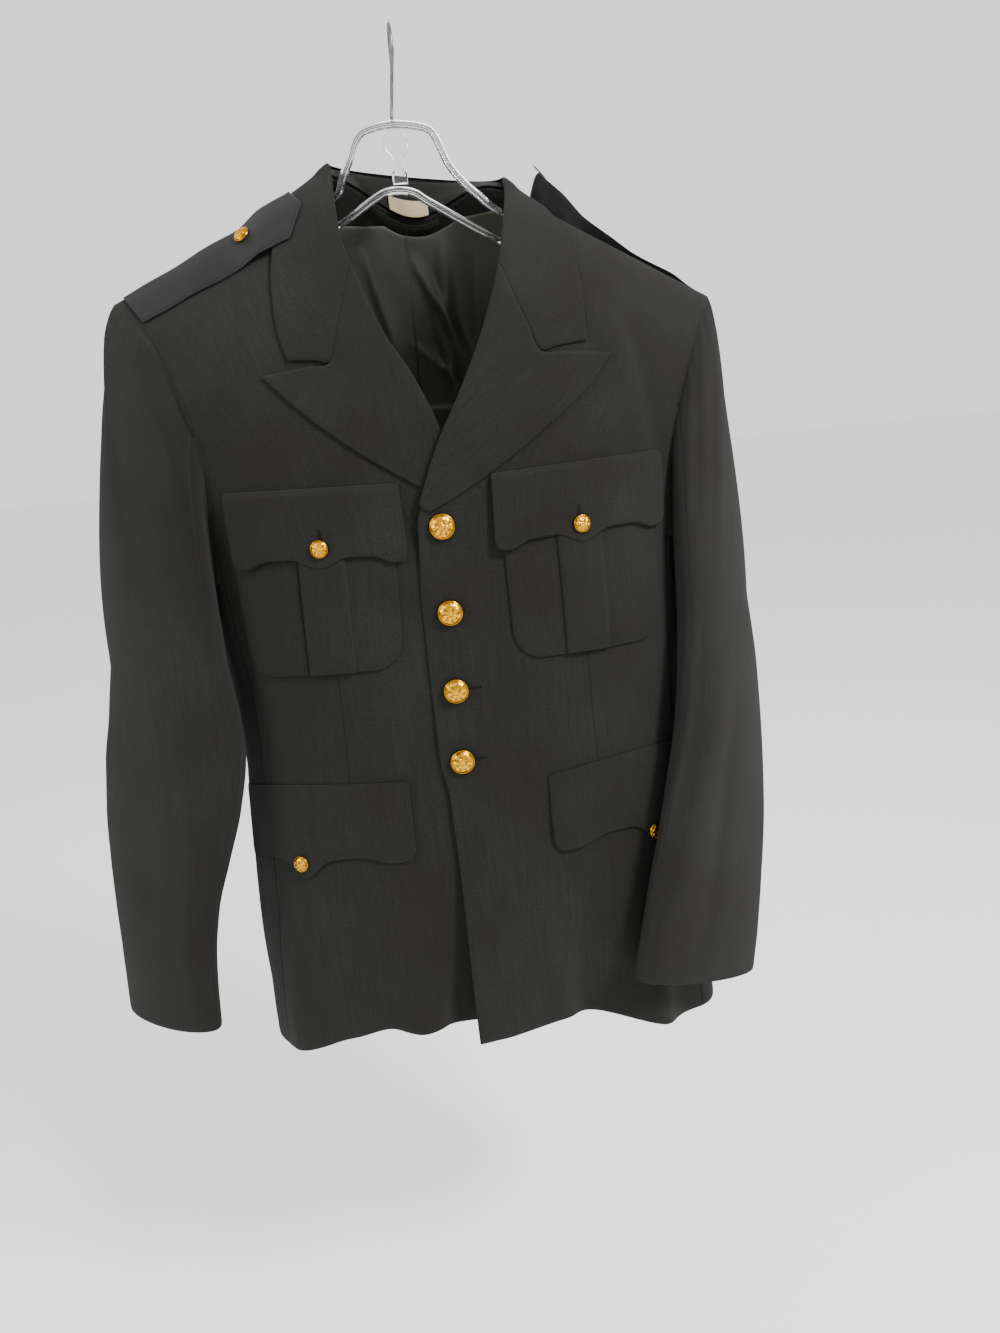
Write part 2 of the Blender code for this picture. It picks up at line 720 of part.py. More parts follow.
def armhole_loop(side):
    """Points of the armhole round the loop and the direction in which the sleeve leaves."""
    front = []
    back = []
    step = 0.002
    for share in UPPER_ROWS:
        for points, column, place in ((front, 1, on_front), (back, 2, on_back)):
            x = table(ARMHOLE[side], share, column)
            height = BREAK_Z + share * (ridge_height(side, x) - BREAK_Z)
            inner = BREAK_Z + share * (ridge_height(side, x - step) - BREAK_Z)
            point = place(side, x, height)
            points.append((point, point - place(side, x - step, inner)))
    low = []
    for angle in np.linspace(SIDE_SEAM_FRONT, SIDE_SEAM_BACK, SIDE_COLUMNS + 1):
        height = underarm_height(angle)
        low.append((on_body(side, angle, height), np.array([side * 1.0, 0.0, 0.45])))
    loop = front[::-1] + low + back[:-1]
    points = np.array([p for p, _ in loop])
    ways = np.array([w / np.linalg.norm(w) for _, w in loop])
    return points, ways


def sleeve_ring(side, height, places):
    """Points of the sleeve's round at a height."""
    rows = SLEEVES[side][::-1]
    middle_x = np.interp(height, rows[:, 0], rows[:, 1])
    middle_y = np.interp(height, rows[:, 0], rows[:, 2])
    wide = np.interp(height, rows[:, 0], rows[:, 3])
    thick = np.interp(height, rows[:, 0], rows[:, 4])
    turn = np.radians(np.interp(height, rows[:, 0], rows[:, 5]))
    along = np.cos(np.radians(places)) * wide
    across = np.sin(np.radians(places)) * thick
    x = middle_x - np.sin(turn) * along + np.cos(turn) * across
    y = middle_y - np.cos(turn) * along - np.sin(turn) * across
    return np.stack([side * x, y, height + 0.0 * x], axis=-1)


def sleeve_grid(side):
    """Outer points of a whole sleeve, rings from the armhole to the cuff."""
    places = np.array(FRONT_PLACES + BOTTOM_PLACES + BACK_PLACES)
    points, ways = armhole_loop(side)
    top_height = SLEEVES[side][0, 0]
    first = sleeve_ring(side, top_height, places)
    start = points + ways * SLEEVE_HEAD_LIFT
    rings = [points + ways * SLEEVE_SEAM_STEP, start]
    bend = first.copy()
    bend[:, 2] = start[:, 2] * (1.0 - SLEEVE_BEND) + first[:, 2] * SLEEVE_BEND
    for share in SLEEVE_CAP_ROWS:
        ring = start * (1.0 - share) ** 2 + bend * 2.0 * share * (1.0 - share) + first * share ** 2
        rings.append(ring)
    for row in SLEEVES[side]:
        ring = sleeve_ring(side, row[0], places)
        low = smooth((top_height - row[0]) / (top_height - SLEEVES[side][-1, 0]))
        ring[:, 2] += CUFF_TILT[side] * low * (SLEEVES[side][-1, 1] - np.abs(ring[:, 0]))
        rings.append(ring)
    rings = np.array(rings)
    return crease_sleeve(side, rings, places)


def crease_sleeve(side, rings, places):
    """Press the creases of the table into the rings."""
    middles = rings.mean(axis=1, keepdims=True)
    radial = rings - middles
    radial[..., 2] = 0.0
    radial /= np.maximum(np.linalg.norm(radial, axis=-1, keepdims=True), 1e-6)
    for own, top_place, foot_place, top, foot, spread, reach in SLEEVE_CREASES:
        if own != side:
            continue
        share = np.clip((top - rings[..., 2]) / (top - foot), 0.0, 1.0)
        middle = top_place + (foot_place - top_place) * share
        fade = np.sin(math.pi * share) ** 0.7
        press = reach * fade * np.exp(-(((places[None, :] - middle) / spread) ** 2))
        press[:2] = 0.0
        rings = rings + radial * press[..., None]
    return rings


def round_normals(rings, hint_side):
    """Outward direction at each point of a closed round of rings."""
    along = np.gradient(rings, axis=0)
    across = np.roll(rings, -1, axis=1) - np.roll(rings, 1, axis=1)
    normal = np.cross(across, along)
    normal /= np.maximum(np.linalg.norm(normal, axis=-1, keepdims=True), 1e-9)
    spot = normal[rings.shape[0] // 2, 0]
    return normal if spot[0] * hint_side > 0.0 else -normal


def sleeve_half(rings, normals, first, last):
    """Columns of one half of a sleeve, drawn in a little at the seams."""
    order = [c % rings.shape[1] for c in range(first, last + 1)]
    half = rings[:, order].copy()
    for edge, near in ((0, 1), (-1, -2)):
        way = half[:, near] - half[:, edge]
        way /= np.linalg.norm(way, axis=-1, keepdims=True)
        half[:, edge] += way * SEAM_GAP
    return half, normals[:, order]


def turned_edge(fold, along, normal, reach, height, run=TURN_RUN):
    """Points of the soft turn of a lapel or collar round its fold line."""
    steps = [(-reach, height * 0.45), (-reach * 0.35, height), (run, height)]
    return [fold + along * a + normal * n for a, n in steps]


def lapel_grid(side):
    """Outer points of a lapel, from the break up to the gorge."""
    data = LAPEL[side]
    outer = data["outer"]
    start = outer[0]
    length = np.concatenate([[0.0], np.cumsum(np.linalg.norm(np.diff(outer, axis=0), axis=1))])
    length /= length[-1]
    rows = []
    for share in LAPEL_ROWS:
        height = BREAK_Z + (data["gorge"][1] - BREAK_Z) * share
        fold_x = table(ROLL_LINE[side], height, 1)
        middle = start + (np.array(data["notch"]) - start) * share
        edge = [np.interp(share, length, outer[:, 0]), np.interp(share, length, outer[:, 1])]
        first = np.array([fold_x, height])
        spread = np.concatenate([np.linspace(first, middle, 4)[1:], np.linspace(middle, edge, 4)[1:]])
        rows.append(row_on_front(side, first, spread, share))
    return np.array(rows)


def row_on_front(side, first, spread, share, lift=0.0):
    """One row across a lapel or collar that lies on the front."""
    fold = place_front(side, side * first[0], first[1])
    toward = place_front(side, side * spread[0][0], spread[0][1])
    along = toward - fold
    length = np.linalg.norm(along)
    along /= length
    normal = outward(side, angle_at(side, side * first[0], first[1]), first[1])
    roll = ROLL_HEIGHT * (ROLL_FLAT_SHARE + (1.0 - ROLL_FLAT_SHARE) * smooth((share - 0.1) / 0.4))
    points = turned_edge(fold, along, normal, ROLL_OVER, roll, min(TURN_RUN, length * 0.6))
    rest = LAY_GAP + CLOTH + LAPEL_EASE[side] + lift
    for x, height in spread:
        away = max(np.hypot(x - first[0], height - first[1]), 0.010)
        puff = max((roll - rest) * math.exp(-((away / ROLL_PUFF) ** 2)), 0.0)
        points.append(place_front(side, side * x, height, rest + puff))
    return np.array(points)


def fold_point(angle):
    """Top fold of the collar round the back of the neck."""
    turn = math.radians(angle)
    left = SHOULDERS[-1]["neck_z"]
    right = SHOULDERS[1]["neck_z"]
    base = left + (right - left) * (1.0 - math.cos(turn)) / 2.0
    return np.array([
        NECK_MIDDLE_X - NECK_HALF_WIDTH * math.cos(turn),
        FOLD_SIDE_Y + FOLD_DEPTH_Y * math.sin(turn),
        base + 0.008 + FOLD_RISE * math.sin(turn),
    ])


def neck_point(angle):
    """Neck seam under the stand, on the back panels."""
    x = NECK_MIDDLE_X - NECK_HALF_WIDTH * math.cos(math.radians(angle))
    side = 1 if x >= 0.0 else -1
    height = neckline_height(side, abs(x))
    return on_back(side, abs(x), min(height, ridge_height(side, abs(x)) - 0.0002))


def fall_point(angle):
    """Outer edge of the collar fall on the back."""
    turn = math.radians(angle)
    x = NECK_MIDDLE_X - FALL_SPREAD_X * math.cos(turn)
    side = 1 if x >= 0.0 else -1
    rise = ridge_height(side, abs(x))
    share = math.sin(turn) ** 0.6
    height = (rise - 0.004) * (1.0 - share) + FALL_BACK_Z * share
    return on_back(side, abs(x), min(height, rise - 0.004), LAY_GAP + CLOTH + 0.0010)


def ridge_row(side):
    """Row of the collar fall that crosses the shoulder seam."""
    shoulder = SHOULDERS[side]
    fold = np.array([side * shoulder["neck_x"], -0.001, shoulder["neck_z"] + 0.0045])
    along = np.array([side * 1.0, 0.0, -shoulder["fall"]])
    along /= np.linalg.norm(along)
    normal = np.array([side * abs(along[2]), 0.0, abs(along[0])])
    points = turned_edge(fold, along, normal, ROLL_OVER, ROLL_HEIGHT)
    edge = COLLAR_RIDGE_X[side]
    near = shoulder["neck_x"] + 0.010
    for x in near + (edge - near) * np.linspace(1.0 / 6.0, 1.0, 6):
        arch = COLLAR_RIDGE_ARCH * (edge - x) / (edge - near)
        rise = LAY_GAP + CLOTH + COLLAR_RIDGE_LIFT + arch
        points.append(np.array([side * x, 0.0, ridge_height(side, x) + rise]))
    return np.array(points)


def collar_rows():
    """Outer points of the collar fall from one front end to the other."""
    rows = []
    for side in (-1, 1):
        part = []
        for fx, fz, mx, mz, ex, ez in COLLAR_FRONT[side]:
            first = np.array([fx, fz])
            spread = np.concatenate([
                np.linspace(first, (mx, mz), 4)[1:], np.linspace((mx, mz), (ex, ez), 4)[1:]])
            near_ridge = smooth((fz - COLLAR_LIFT_START) / COLLAR_LIFT_RUN)
            part.append(row_on_front(side, first, spread, 1.0, COLLAR_LIFT * near_ridge))
        rows.append(part)
    middle = []
    for angle in COLLAR_BACK_ANGLES:
        fold = fold_point(angle)
        edge = fall_point(angle)
        down = edge * FALL_WAY_SHARE + neck_point(angle) * (1.0 - FALL_WAY_SHARE) - fold
        down /= np.linalg.norm(down)
        outer = np.array([fold[0] - NECK_MIDDLE_X, max(fold[1] - FOLD_SIDE_Y, 0.0), 0.0])
        outer -= down * np.dot(outer, down)
        outer /= np.linalg.norm(outer)
        points = turned_edge(fold, down, outer, BACK_ROLL_OVER, ROLL_HEIGHT)
        last = points[-1]
        for share in np.linspace(0.0, 1.0, 7)[1:]:
            points.append(last + (edge - last) * share)
        middle.append(np.array(points))
    return np.array(rows[0] + [ridge_row(-1)] + middle + [ridge_row(1)] + rows[1][::-1])


def stand_grid():
    """Outer points of the collar stand round the back of the neck."""
    rows = []
    for share in STAND_ROWS:
        row = []
        for angle in [4.0] + COLLAR_BACK_ANGLES[1:-1] + [176.0]:
            seam = neck_point(angle) + np.array([0.0, 0.0, STAND_LIFT])
            top = fold_point(angle)
            row.append(seam + (top - seam) * share)
        rows.append(row)
    return np.array(rows)


def pocket_grid(side):
    """Outer points of a breast pocket with its box pleat."""
    data = POCKETS[side]
    middle = data["pleat"]
    foot = data["bottom"]
    straight = foot + POCKET_CORNER
    heights = list(np.linspace(data["top"], straight, 6))
    heights += [straight - POCKET_CORNER * share for share in (0.38, 0.70, 0.92, 1.0)]
    rows = []
    for height in heights:
        drop = max((straight - height) / POCKET_CORNER, 0.0)
        round_in = POCKET_CORNER * (1.0 - math.sqrt(max(1.0 - drop * drop, 0.0)))
        flank = np.linspace(0.0, 1.0, 4)
        near = data["inner"] + round_in
        far = data["outer"] - round_in
        left = near + (middle - PLEAT_HALF - near) * flank
        right = middle + PLEAT_HALF + (far - middle - PLEAT_HALF) * flank
        inside = middle + (PLEAT_HALF - PLEAT_STEP) * np.array([-1.0, 0.0, 1.0])
        x = np.concatenate([left, inside, right])
        lift = np.concatenate([0.0 * left, [PLEAT_LIFT] * 3, 0.0 * right])
        lean = data["skew"] * (data["top"] - height) / (data["top"] - foot)
        spots = (side, x + lean, height + 0.0 * x, LAY_GAP + CLOTH + 0.0002 + lift)
        rows.append(place_front(*spots))
    return np.array(rows[::-1])


def breast_flap_grid(side):
    """Outer points of a breast flap."""
    data = BREAST_FLAPS[side]
    shares = BREAST_FLAP_EDGE[:, 0]
    drops = BREAST_FLAP_EDGE[:, 1]
    x = data["inner"] + (data["outer"] - data["inner"]) * shares
    top = data["top_in"] + (data["top_out"] - data["top_in"]) * shares
    rows = []
    for step in (0.0, 0.10, 0.36, 0.68, 1.0):
        height = top - drops * step
        lift = FLAP_POCKET_LIFT * smooth(step / 0.10) + 0.0010 * smooth((step - 0.5) / 0.5)
        rows.append(place_front(side, x - 0.002 * step, height, LAY_GAP + CLOTH + lift))
    return np.array(rows[::-1])


def lower_flap_grid(side):
    """Outer points of a lower flap."""
    data = LOWER_FLAPS[side]
    shares = LOWER_FLAP_EDGE[:, 0]
    drops = LOWER_FLAP_EDGE[:, 1]
    angle = data["inner"] + (data["outer"] - data["inner"]) * shares
    ends = data["top_in"] + (data["top_out"] - data["top_in"]) * shares
    bow = data["top_mid"] - (data["top_in"] + data["top_out"]) / 2.0
    top = ends + bow * np.sin(math.pi * shares)
    rows = []
    for step in (0.0, 0.30, 0.65, 1.0):
        height = top - drops * step
        lift = 0.0015 * smooth(step)
        rows.append(on_body(side, angle, height, LAY_GAP + CLOTH + lift))
    return np.array(rows[::-1])


def loop_grid(side):
    """Outer points of a shoulder loop, from the sleeve to the neck."""
    neck = LOOP_NECK_X[side]
    rows = []
    shares = np.array([0.0, 0.12, 0.28, 0.44, 0.60, 0.74, 0.86, 0.94, 1.0])
    cross = np.array([0.02, 0.22, 0.48, 0.76, 1.0])
    for share in shares:
        start = LOOP_SLEEVE_X - LOOP_SLANT * cross * (1.0 - share)
        x = start + (neck - start) * share
        drop = LOOP_DROP_SLEEVE + (LOOP_DROP_NECK - LOOP_DROP_SLEEVE) * share
        point = LOOP_POINT * smooth((share - 0.86) / 0.14)
        spots = x + point * np.abs(cross - 0.45) * 2.0
        collar = LOOP_COLLAR_LIFT * smooth((share - 0.62) / 0.16)
        if side < 0:
            height = ridge_height(side, spots) - drop * cross
            rows.append(on_front(side, spots, height, CLOTH + LOOP_LIFT + collar))
        else:
            spots = spots + LOOP_FLICK * cross * smooth((share - 0.5) / 0.5)
            collar += LOOP_RAISED_END * np.clip((share - 0.35) / 0.65, 0.0, 1.0) ** 1.3
            height = ridge_height(side, spots) - drop * cross * 0.8
            rows.append(on_back(side, spots, height, CLOTH + LOOP_LIFT + collar))
    return np.array(rows)


def lining_grid():
    """Inner points of the lining behind the neck, with its centre pleat."""
    rows = []
    for share in LINING_ROWS:
        row = []
        for spot in LINING_COLUMNS:
            side = 1 if spot >= 0.0 else -1
            reach = abs(spot)
            inside = reach < SHOULDERS[side]["neck_x"]
            top = (neckline_height(side, reach) if inside else ridge_height(side, reach)) - LINING_TOP_DROP
            height = LINING_FOOT_Z + (top - LINING_FOOT_Z) * share
            pleat = LINING_PLEAT if spot < -0.004 else 0.0
            row.append(on_back(side, reach, height, -(CLOTH + LINING_SPACE + pleat)))
        rows.append(row)
    return np.array(rows)


def label_grid():
    """Front points of the blank label on the inside of the stand."""
    rows = []
    for share in (LABEL_FOOT, LABEL_TOP):
        row = []
        for x in np.linspace(LABEL_LEFT, LABEL_RIGHT, 7):
            angle = math.degrees(math.acos((NECK_MIDDLE_X - x) / NECK_HALF_WIDTH))
            seam = neck_point(angle) + np.array([0.0, 0.0, STAND_LIFT])
            top = fold_point(angle)
            point = seam + (top - seam) * share
            inward = np.array([NECK_MIDDLE_X - point[0], -point[1], 0.0])
            inward /= np.linalg.norm(inward)
            row.append(point + inward * (CLOTH + LABEL_GAP + LABEL_THICKNESS))
        rows.append(row)
    return np.array(rows)


def tube(name, path, radius, sides, finish, collection, closed=False):
    """Round bar along a path of points."""
    path = np.array(path, dtype=float)
    count = len(path)
    rings = []
    across = None
    for k in range(count):
        if closed:
            way = path[(k + 1) % count] - path[k - 1]
        else:
            way = path[min(k + 1, count - 1)] - path[max(k - 1, 0)]
        way /= np.linalg.norm(way)
        if across is None:
            across = np.array([0.0, 1.0, 0.0]) if abs(way[1]) < 0.5 else np.array([1.0, 0.0, 0.0])
        across = across - way * np.dot(across, way)
        across /= np.linalg.norm(across)
        other = np.cross(way, across)
        turns = 2.0 * math.pi * np.arange(sides) / sides
        rings.append([path[k] + radius * (across * math.cos(t) + other * math.sin(t)) for t in turns])
    points = [p for ring in rings for p in ring]
    faces = []
    for k in range(count if closed else count - 1):
        near = k * sides
        far = ((k + 1) % count) * sides
        for c in range(sides):
            after = (c + 1) % sides
            faces.append((near + c, near + after, far + after, far + c))
    if not closed:
        faces.append(tuple(range(sides))[::-1])
        faces.append(tuple((count - 1) * sides + c for c in range(sides)))
    return mesh_object(name, points, faces, finish, collection)


def button(name, diameter, place, normal, steps, collection):
    """Domed button with a raised rim, its back toward the cloth."""
    radius = diameter / 2.0
    rise = diameter * BUTTON_DOME
    profile = [
        (0.0, rise),
        (radius * 0.42, rise * 0.93),
        (radius * 0.76, rise * 0.66),
        (radius * 0.80, rise * 0.74),
        (radius * 0.93, rise * 0.62),
        (radius, rise * 0.34),
        (radius * 0.90, rise * 0.14),
        (radius * 0.30, rise * 0.10),
        (radius * 0.28, 0.0),
        (0.0, 0.0),
    ]
    points = []
    for radial, height in profile[1:-1]:
        for k in range(steps):
            turn = 2.0 * math.pi * k / steps
            points.append((radial * math.cos(turn), radial * math.sin(turn), height))
    rings = len(profile) - 2
    points.append((0.0, 0.0, profile[0][1]))
    points.append((0.0, 0.0, 0.0))
    crown = rings * steps
    faces = []
    for ring in range(rings - 1):
        for k in range(steps):
            after = (k + 1) % steps
            faces.append((ring * steps + k, (ring + 1) * steps + k,
                          (ring + 1) * steps + after, ring * steps + after))
    for k in range(steps):
        after = (k + 1) % steps
        faces.append((crown, k, after))
        faces.append((crown + 1, (rings - 1) * steps + after, (rings - 1) * steps + k))
    normal = np.array(normal, dtype=float)
    normal /= np.linalg.norm(normal)
    side = np.cross([0.0, 0.0, 1.0], normal)
    side /= np.linalg.norm(side)
    up = np.cross(normal, side)
    placed = [np.array(place) + side * p[0] + up * p[1] + normal * p[2] for p in points]
    return mesh_object(name, placed, faces, "gold", collection)


def add_buttons(side, word, collection):
    """Buttons of one side: breast flap, lower flap and shoulder loop, and the front row."""
    x, height = BREAST_BUTTON[side]
    lift = LAY_GAP + CLOTH + FLAP_POCKET_LIFT + BUTTON_GAP
    normal = outward(side, angle_at(side, x, height), height)
    button("breast_button_" + word, SMALL_BUTTON, on_front(side, x, height, lift), normal, 16, collection)
    x, height = LOWER_BUTTON[side]
    normal = outward(side, angle_at(side, x, height), height)
    spot = on_front(side, x, height, LAY_GAP + CLOTH + BUTTON_GAP + LOWER_BUTTON_LIFT)
    button("lower_button_" + word, SMALL_BUTTON, spot, normal, 16, collection)
    if side > 0:
        for number, (x, height) in enumerate(FRONT_BUTTONS):
            normal = outward(side, angle_at(side, x, height), height)
            spot = on_front(side, x, height, BUTTON_GAP)
            button("front_button_%d" % (number + 1), LARGE_BUTTON, spot, normal, 20, collection)
    grid = loop_grid(side)
    normals = grid_normals(grid, np.array([0.0, 0.0, 1.0]))
    place = (slice(4, 6), slice(1, 3))
    normal = normals[place].mean(axis=(0, 1))
    normal /= np.linalg.norm(normal)
    spot = grid[place].mean(axis=(0, 1)) + normal * BUTTON_GAP
    button("loop_button_" + word, SMALL_BUTTON, spot, normal, 16, collection)


def arm_path(side, below):
    """Middle of a hanger bar inside a shoulder, from the neck to the arm's end."""
    start = HANGER_CROWN[-1] if side > 0 else HANGER_CROWN[0]
    if below:
        start = HANGER_FOOT[-1] if side > 0 else HANGER_FOOT[0]
    reach = ARM_TIP_X[side]
    points = []
    for x in np.linspace(abs(start[0]) + 0.030, reach, 4):
        depth = CLOTH + SEAM_GAP + BAR_RADIUS + ARM_DROP
        lower = 0.020 * (reach - x) / (reach - abs(start[0])) + 0.004 if below else 0.0
        points.append([side * x, 0.0, ridge_height(side, x) - depth - lower])
    return points


def hanger_path():
    """Closed path of the hanger's bar: over the crown, out along both arms and back below."""
    crown = [[x, 0.0, z] for x, z in HANGER_CROWN]
    foot = [[x, 0.0, z] for x, z in HANGER_FOOT]
    right_top = arm_path(1, False)
    right_low = arm_path(1, True)[::-1]
    left_top = arm_path(-1, False)
    left_low = arm_path(-1, True)
    return crown + right_top + right_low + foot[::-1] + left_low + left_top[::-1]


def hook_path():
    """Middle of the hook wire from the hanger's crown to its tip."""
    points = [np.array(HOOK_BASE), np.array([-0.0045, 0.0, -0.060]), np.array([-0.0030, -0.004, -0.048]),
              np.array([-0.0015, -0.014, -0.036])]
    centre = np.array([0.0, 0.0, -HOOK_RADIUS + WIRE_RADIUS])
    for turn in np.linspace(200.0, -20.0, 13):
        angle = math.radians(turn)
        points.append(centre + np.array([0.0, math.cos(angle), math.sin(angle)]) * HOOK_RADIUS)
    return points


def strut_grid():
    """Front points of the hanger's centre strut."""
    rows = []
    for height, half in HANGER_STRUT:
        lean = STRUT_X + STRUT_LEAN * (HANGER_STRUT[0, 0] - height)
        rows.append([[lean + half * t, -STRUT_THICKNESS / 2.0, height] for t in (-1.0, -0.4, 0.4, 1.0)])
    return np.array(rows[::-1])


def hang_loop_grid():
    """Front points of the cloth hang loop under the label."""
    rows = []
    for drop in HANG_LOOP_DROPS:
        row = []
        for x in np.linspace(HANG_LOOP_LEFT, HANG_LOOP_RIGHT, 9):
            side = 1 if x >= 0.0 else -1
            height = neckline_height(side, abs(x)) - drop
            row.append(on_back(side, abs(x), height, -(CLOTH + HANG_LOOP_GAP + HANG_LOOP_THICKNESS)))
        rows.append(row)
    return np.array(rows)


def build():
    """Build every piece of the jacket and its hanger."""
    clear_scene()
    jacket = make_collection("military_jacket_on_hanger")
    names = {-1: "right", 1: "left"}
    front = np.array([0.0, -1.0, 0.0])
    up = np.array([0.0, 0.0, 1.0])
    for side in (-1, 1):
        word = names[side]
        cloth_sheet("front_" + word, *front_walls(side), "wool", jacket)
        cloth_sheet("side_panel_" + word, *side_walls(side), "wool", jacket)
        cloth_sheet("back_" + word, *back_walls(side), "wool", jacket)
        rings = sleeve_grid(side)
        normals = round_normals(rings, side)
        count = rings.shape[1]
        top = sleeve_half(rings, normals, SLEEVE_SEAM_BACK, SLEEVE_SEAM_FRONT + count)
        under = sleeve_half(rings, normals, SLEEVE_SEAM_FRONT, SLEEVE_SEAM_BACK)
        cloth_sheet("sleeve_top_" + word, *top, "wool", jacket)
        cloth_sheet("sleeve_under_" + word, *under, "wool", jacket)
        laid_sheet("lapel_" + word, lapel_grid(side), front, "wool", jacket, TURNBACK)
        laid_sheet("breast_pocket_" + word, pocket_grid(side), front, "wool", jacket)
        laid_sheet("breast_flap_" + word, breast_flap_grid(side), front, "wool", jacket)
        laid_sheet("lower_flap_" + word, lower_flap_grid(side), front, "wool", jacket)
        laid_sheet("shoulder_loop_" + word, loop_grid(side), up, "satin", jacket)
        add_buttons(side, word, jacket)
    laid_sheet("collar_fall", collar_rows(), -front, "wool", jacket, TURNBACK)
    laid_sheet("collar_stand", stand_grid(), -front, "wool", jacket)
    laid_sheet("back_lining", lining_grid(), -front, "lining", jacket, LINING)
    laid_sheet("blank_label", label_grid(), front, "label", jacket, LABEL_THICKNESS)
    laid_sheet("neck_hang_loop", hang_loop_grid(), front, "wool", jacket, HANG_LOOP_THICKNESS)
    laid_sheet("hanger_strut", strut_grid(), front, "clear", jacket, STRUT_THICKNESS)
    tube("hanger_frame", hanger_path(), BAR_RADIUS, 8, "clear", jacket, closed=True)
    tube("hook_wire", hook_path(), WIRE_RADIUS, 8, "wire", jacket)


build()
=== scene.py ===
"""Military jacket on a clear hanger: its cloth, sewing, buttons and hanger, dressed for view.

Lengths are in metres and angles in degrees. X runs to the wearer's left, Y to the
back, Z up, and the origin is the inner top of the hook.
"""

import json
import logging
import math
from dataclasses import dataclass, field
from enum import Enum

import bpy
import numpy as np
from mathutils import Matrix

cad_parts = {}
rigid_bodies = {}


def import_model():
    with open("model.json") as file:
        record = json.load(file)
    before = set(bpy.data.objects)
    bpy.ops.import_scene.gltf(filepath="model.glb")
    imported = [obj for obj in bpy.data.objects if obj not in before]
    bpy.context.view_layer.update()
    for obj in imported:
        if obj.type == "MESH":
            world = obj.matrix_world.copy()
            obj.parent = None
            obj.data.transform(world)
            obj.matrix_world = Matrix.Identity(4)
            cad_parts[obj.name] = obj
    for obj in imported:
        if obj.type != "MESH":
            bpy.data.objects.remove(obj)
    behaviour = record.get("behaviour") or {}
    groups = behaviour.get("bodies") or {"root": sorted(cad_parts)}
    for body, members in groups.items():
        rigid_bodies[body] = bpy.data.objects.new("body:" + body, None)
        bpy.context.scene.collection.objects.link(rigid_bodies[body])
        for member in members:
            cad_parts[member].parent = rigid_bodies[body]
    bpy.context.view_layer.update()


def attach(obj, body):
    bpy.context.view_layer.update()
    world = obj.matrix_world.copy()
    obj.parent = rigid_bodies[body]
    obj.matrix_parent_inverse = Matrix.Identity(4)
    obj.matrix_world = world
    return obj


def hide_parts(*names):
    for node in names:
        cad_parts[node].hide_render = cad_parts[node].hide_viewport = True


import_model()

LOG = logging.getLogger("jacket")
Array = np.ndarray


class Side(Enum):
    """The wearer's side that a piece belongs to."""

    RIGHT = -1
    LEFT = 1

    @property
    def word(self) -> str:
        """Ending that the solids' names use for this side."""
        return "left" if self is Side.LEFT else "right"

    @property
    def sign(self) -> int:
        """Direction of this side along X."""
        return int(self.value)


class Face(Enum):
    """The part of the body that a fold is pressed into."""

    FRONT = "front"
    BACK = "back"
    FLANK = "flank"


def smooth(value: Array) -> Array:
    """Ease from 0 to 1 for a value that runs from 0 to 1."""
    value = np.clip(value, 0.0, 1.0)
    return value * value * (3.0 - 2.0 * value)


def unit(vectors: Array) -> Array:
    """Vectors brought to length one."""
    return vectors / np.maximum(np.linalg.norm(vectors, axis=-1, keepdims=True), 1e-9)


@dataclass(frozen=True)
class Curve:
    """Smooth curve through a short table, with no overshoot between its rows."""

    keys: tuple[float, ...]
    values: tuple[float, ...]

    @staticmethod
    def column(rows: Array, column: int) -> "Curve":
        """Curve through one column of a table, over its first column."""
        rows = np.asarray(rows, dtype=float)
        rows = rows[np.argsort(rows[:, 0])]
        return Curve(tuple(rows[:, 0]), tuple(rows[:, column]))

    def at(self, value: Array) -> Array:
        """Value of the curve.

        Args:
            value: place or places along the keys.

        Returns:
            The interpolated values, held level outside the table.
        """
        keys = np.array(self.keys)
        values = np.array(self.values)
        gap = np.diff(keys)
        rise = np.diff(values) / gap
        slope = np.empty_like(values)
        slope[0] = rise[0]
        slope[-1] = rise[-1]
        before = 2.0 * gap[1:] + gap[:-1]
        after = gap[1:] + 2.0 * gap[:-1]
        same = rise[:-1] * rise[1:] > 0.0
        safe_low = np.where(same, rise[:-1], 1.0)
        safe_high = np.where(same, rise[1:], 1.0)
        slope[1:-1] = np.where(same, (before + after) / (before / safe_low + after / safe_high), 0.0)
        place = np.clip(np.asarray(value, dtype=float), keys[0], keys[-1])
        k = np.clip(np.searchsorted(keys, place, side="right") - 1, 0, len(keys) - 2)
        t = (place - keys[k]) / gap[k]
        low = (2 * t ** 3 - 3 * t ** 2 + 1) * values[k] + (t ** 3 - 2 * t ** 2 + t) * gap[k] * slope[k]
        high = (3 * t ** 2 - 2 * t ** 3) * values[k + 1] + (t ** 3 - t ** 2) * gap[k] * slope[k + 1]
        return low + high


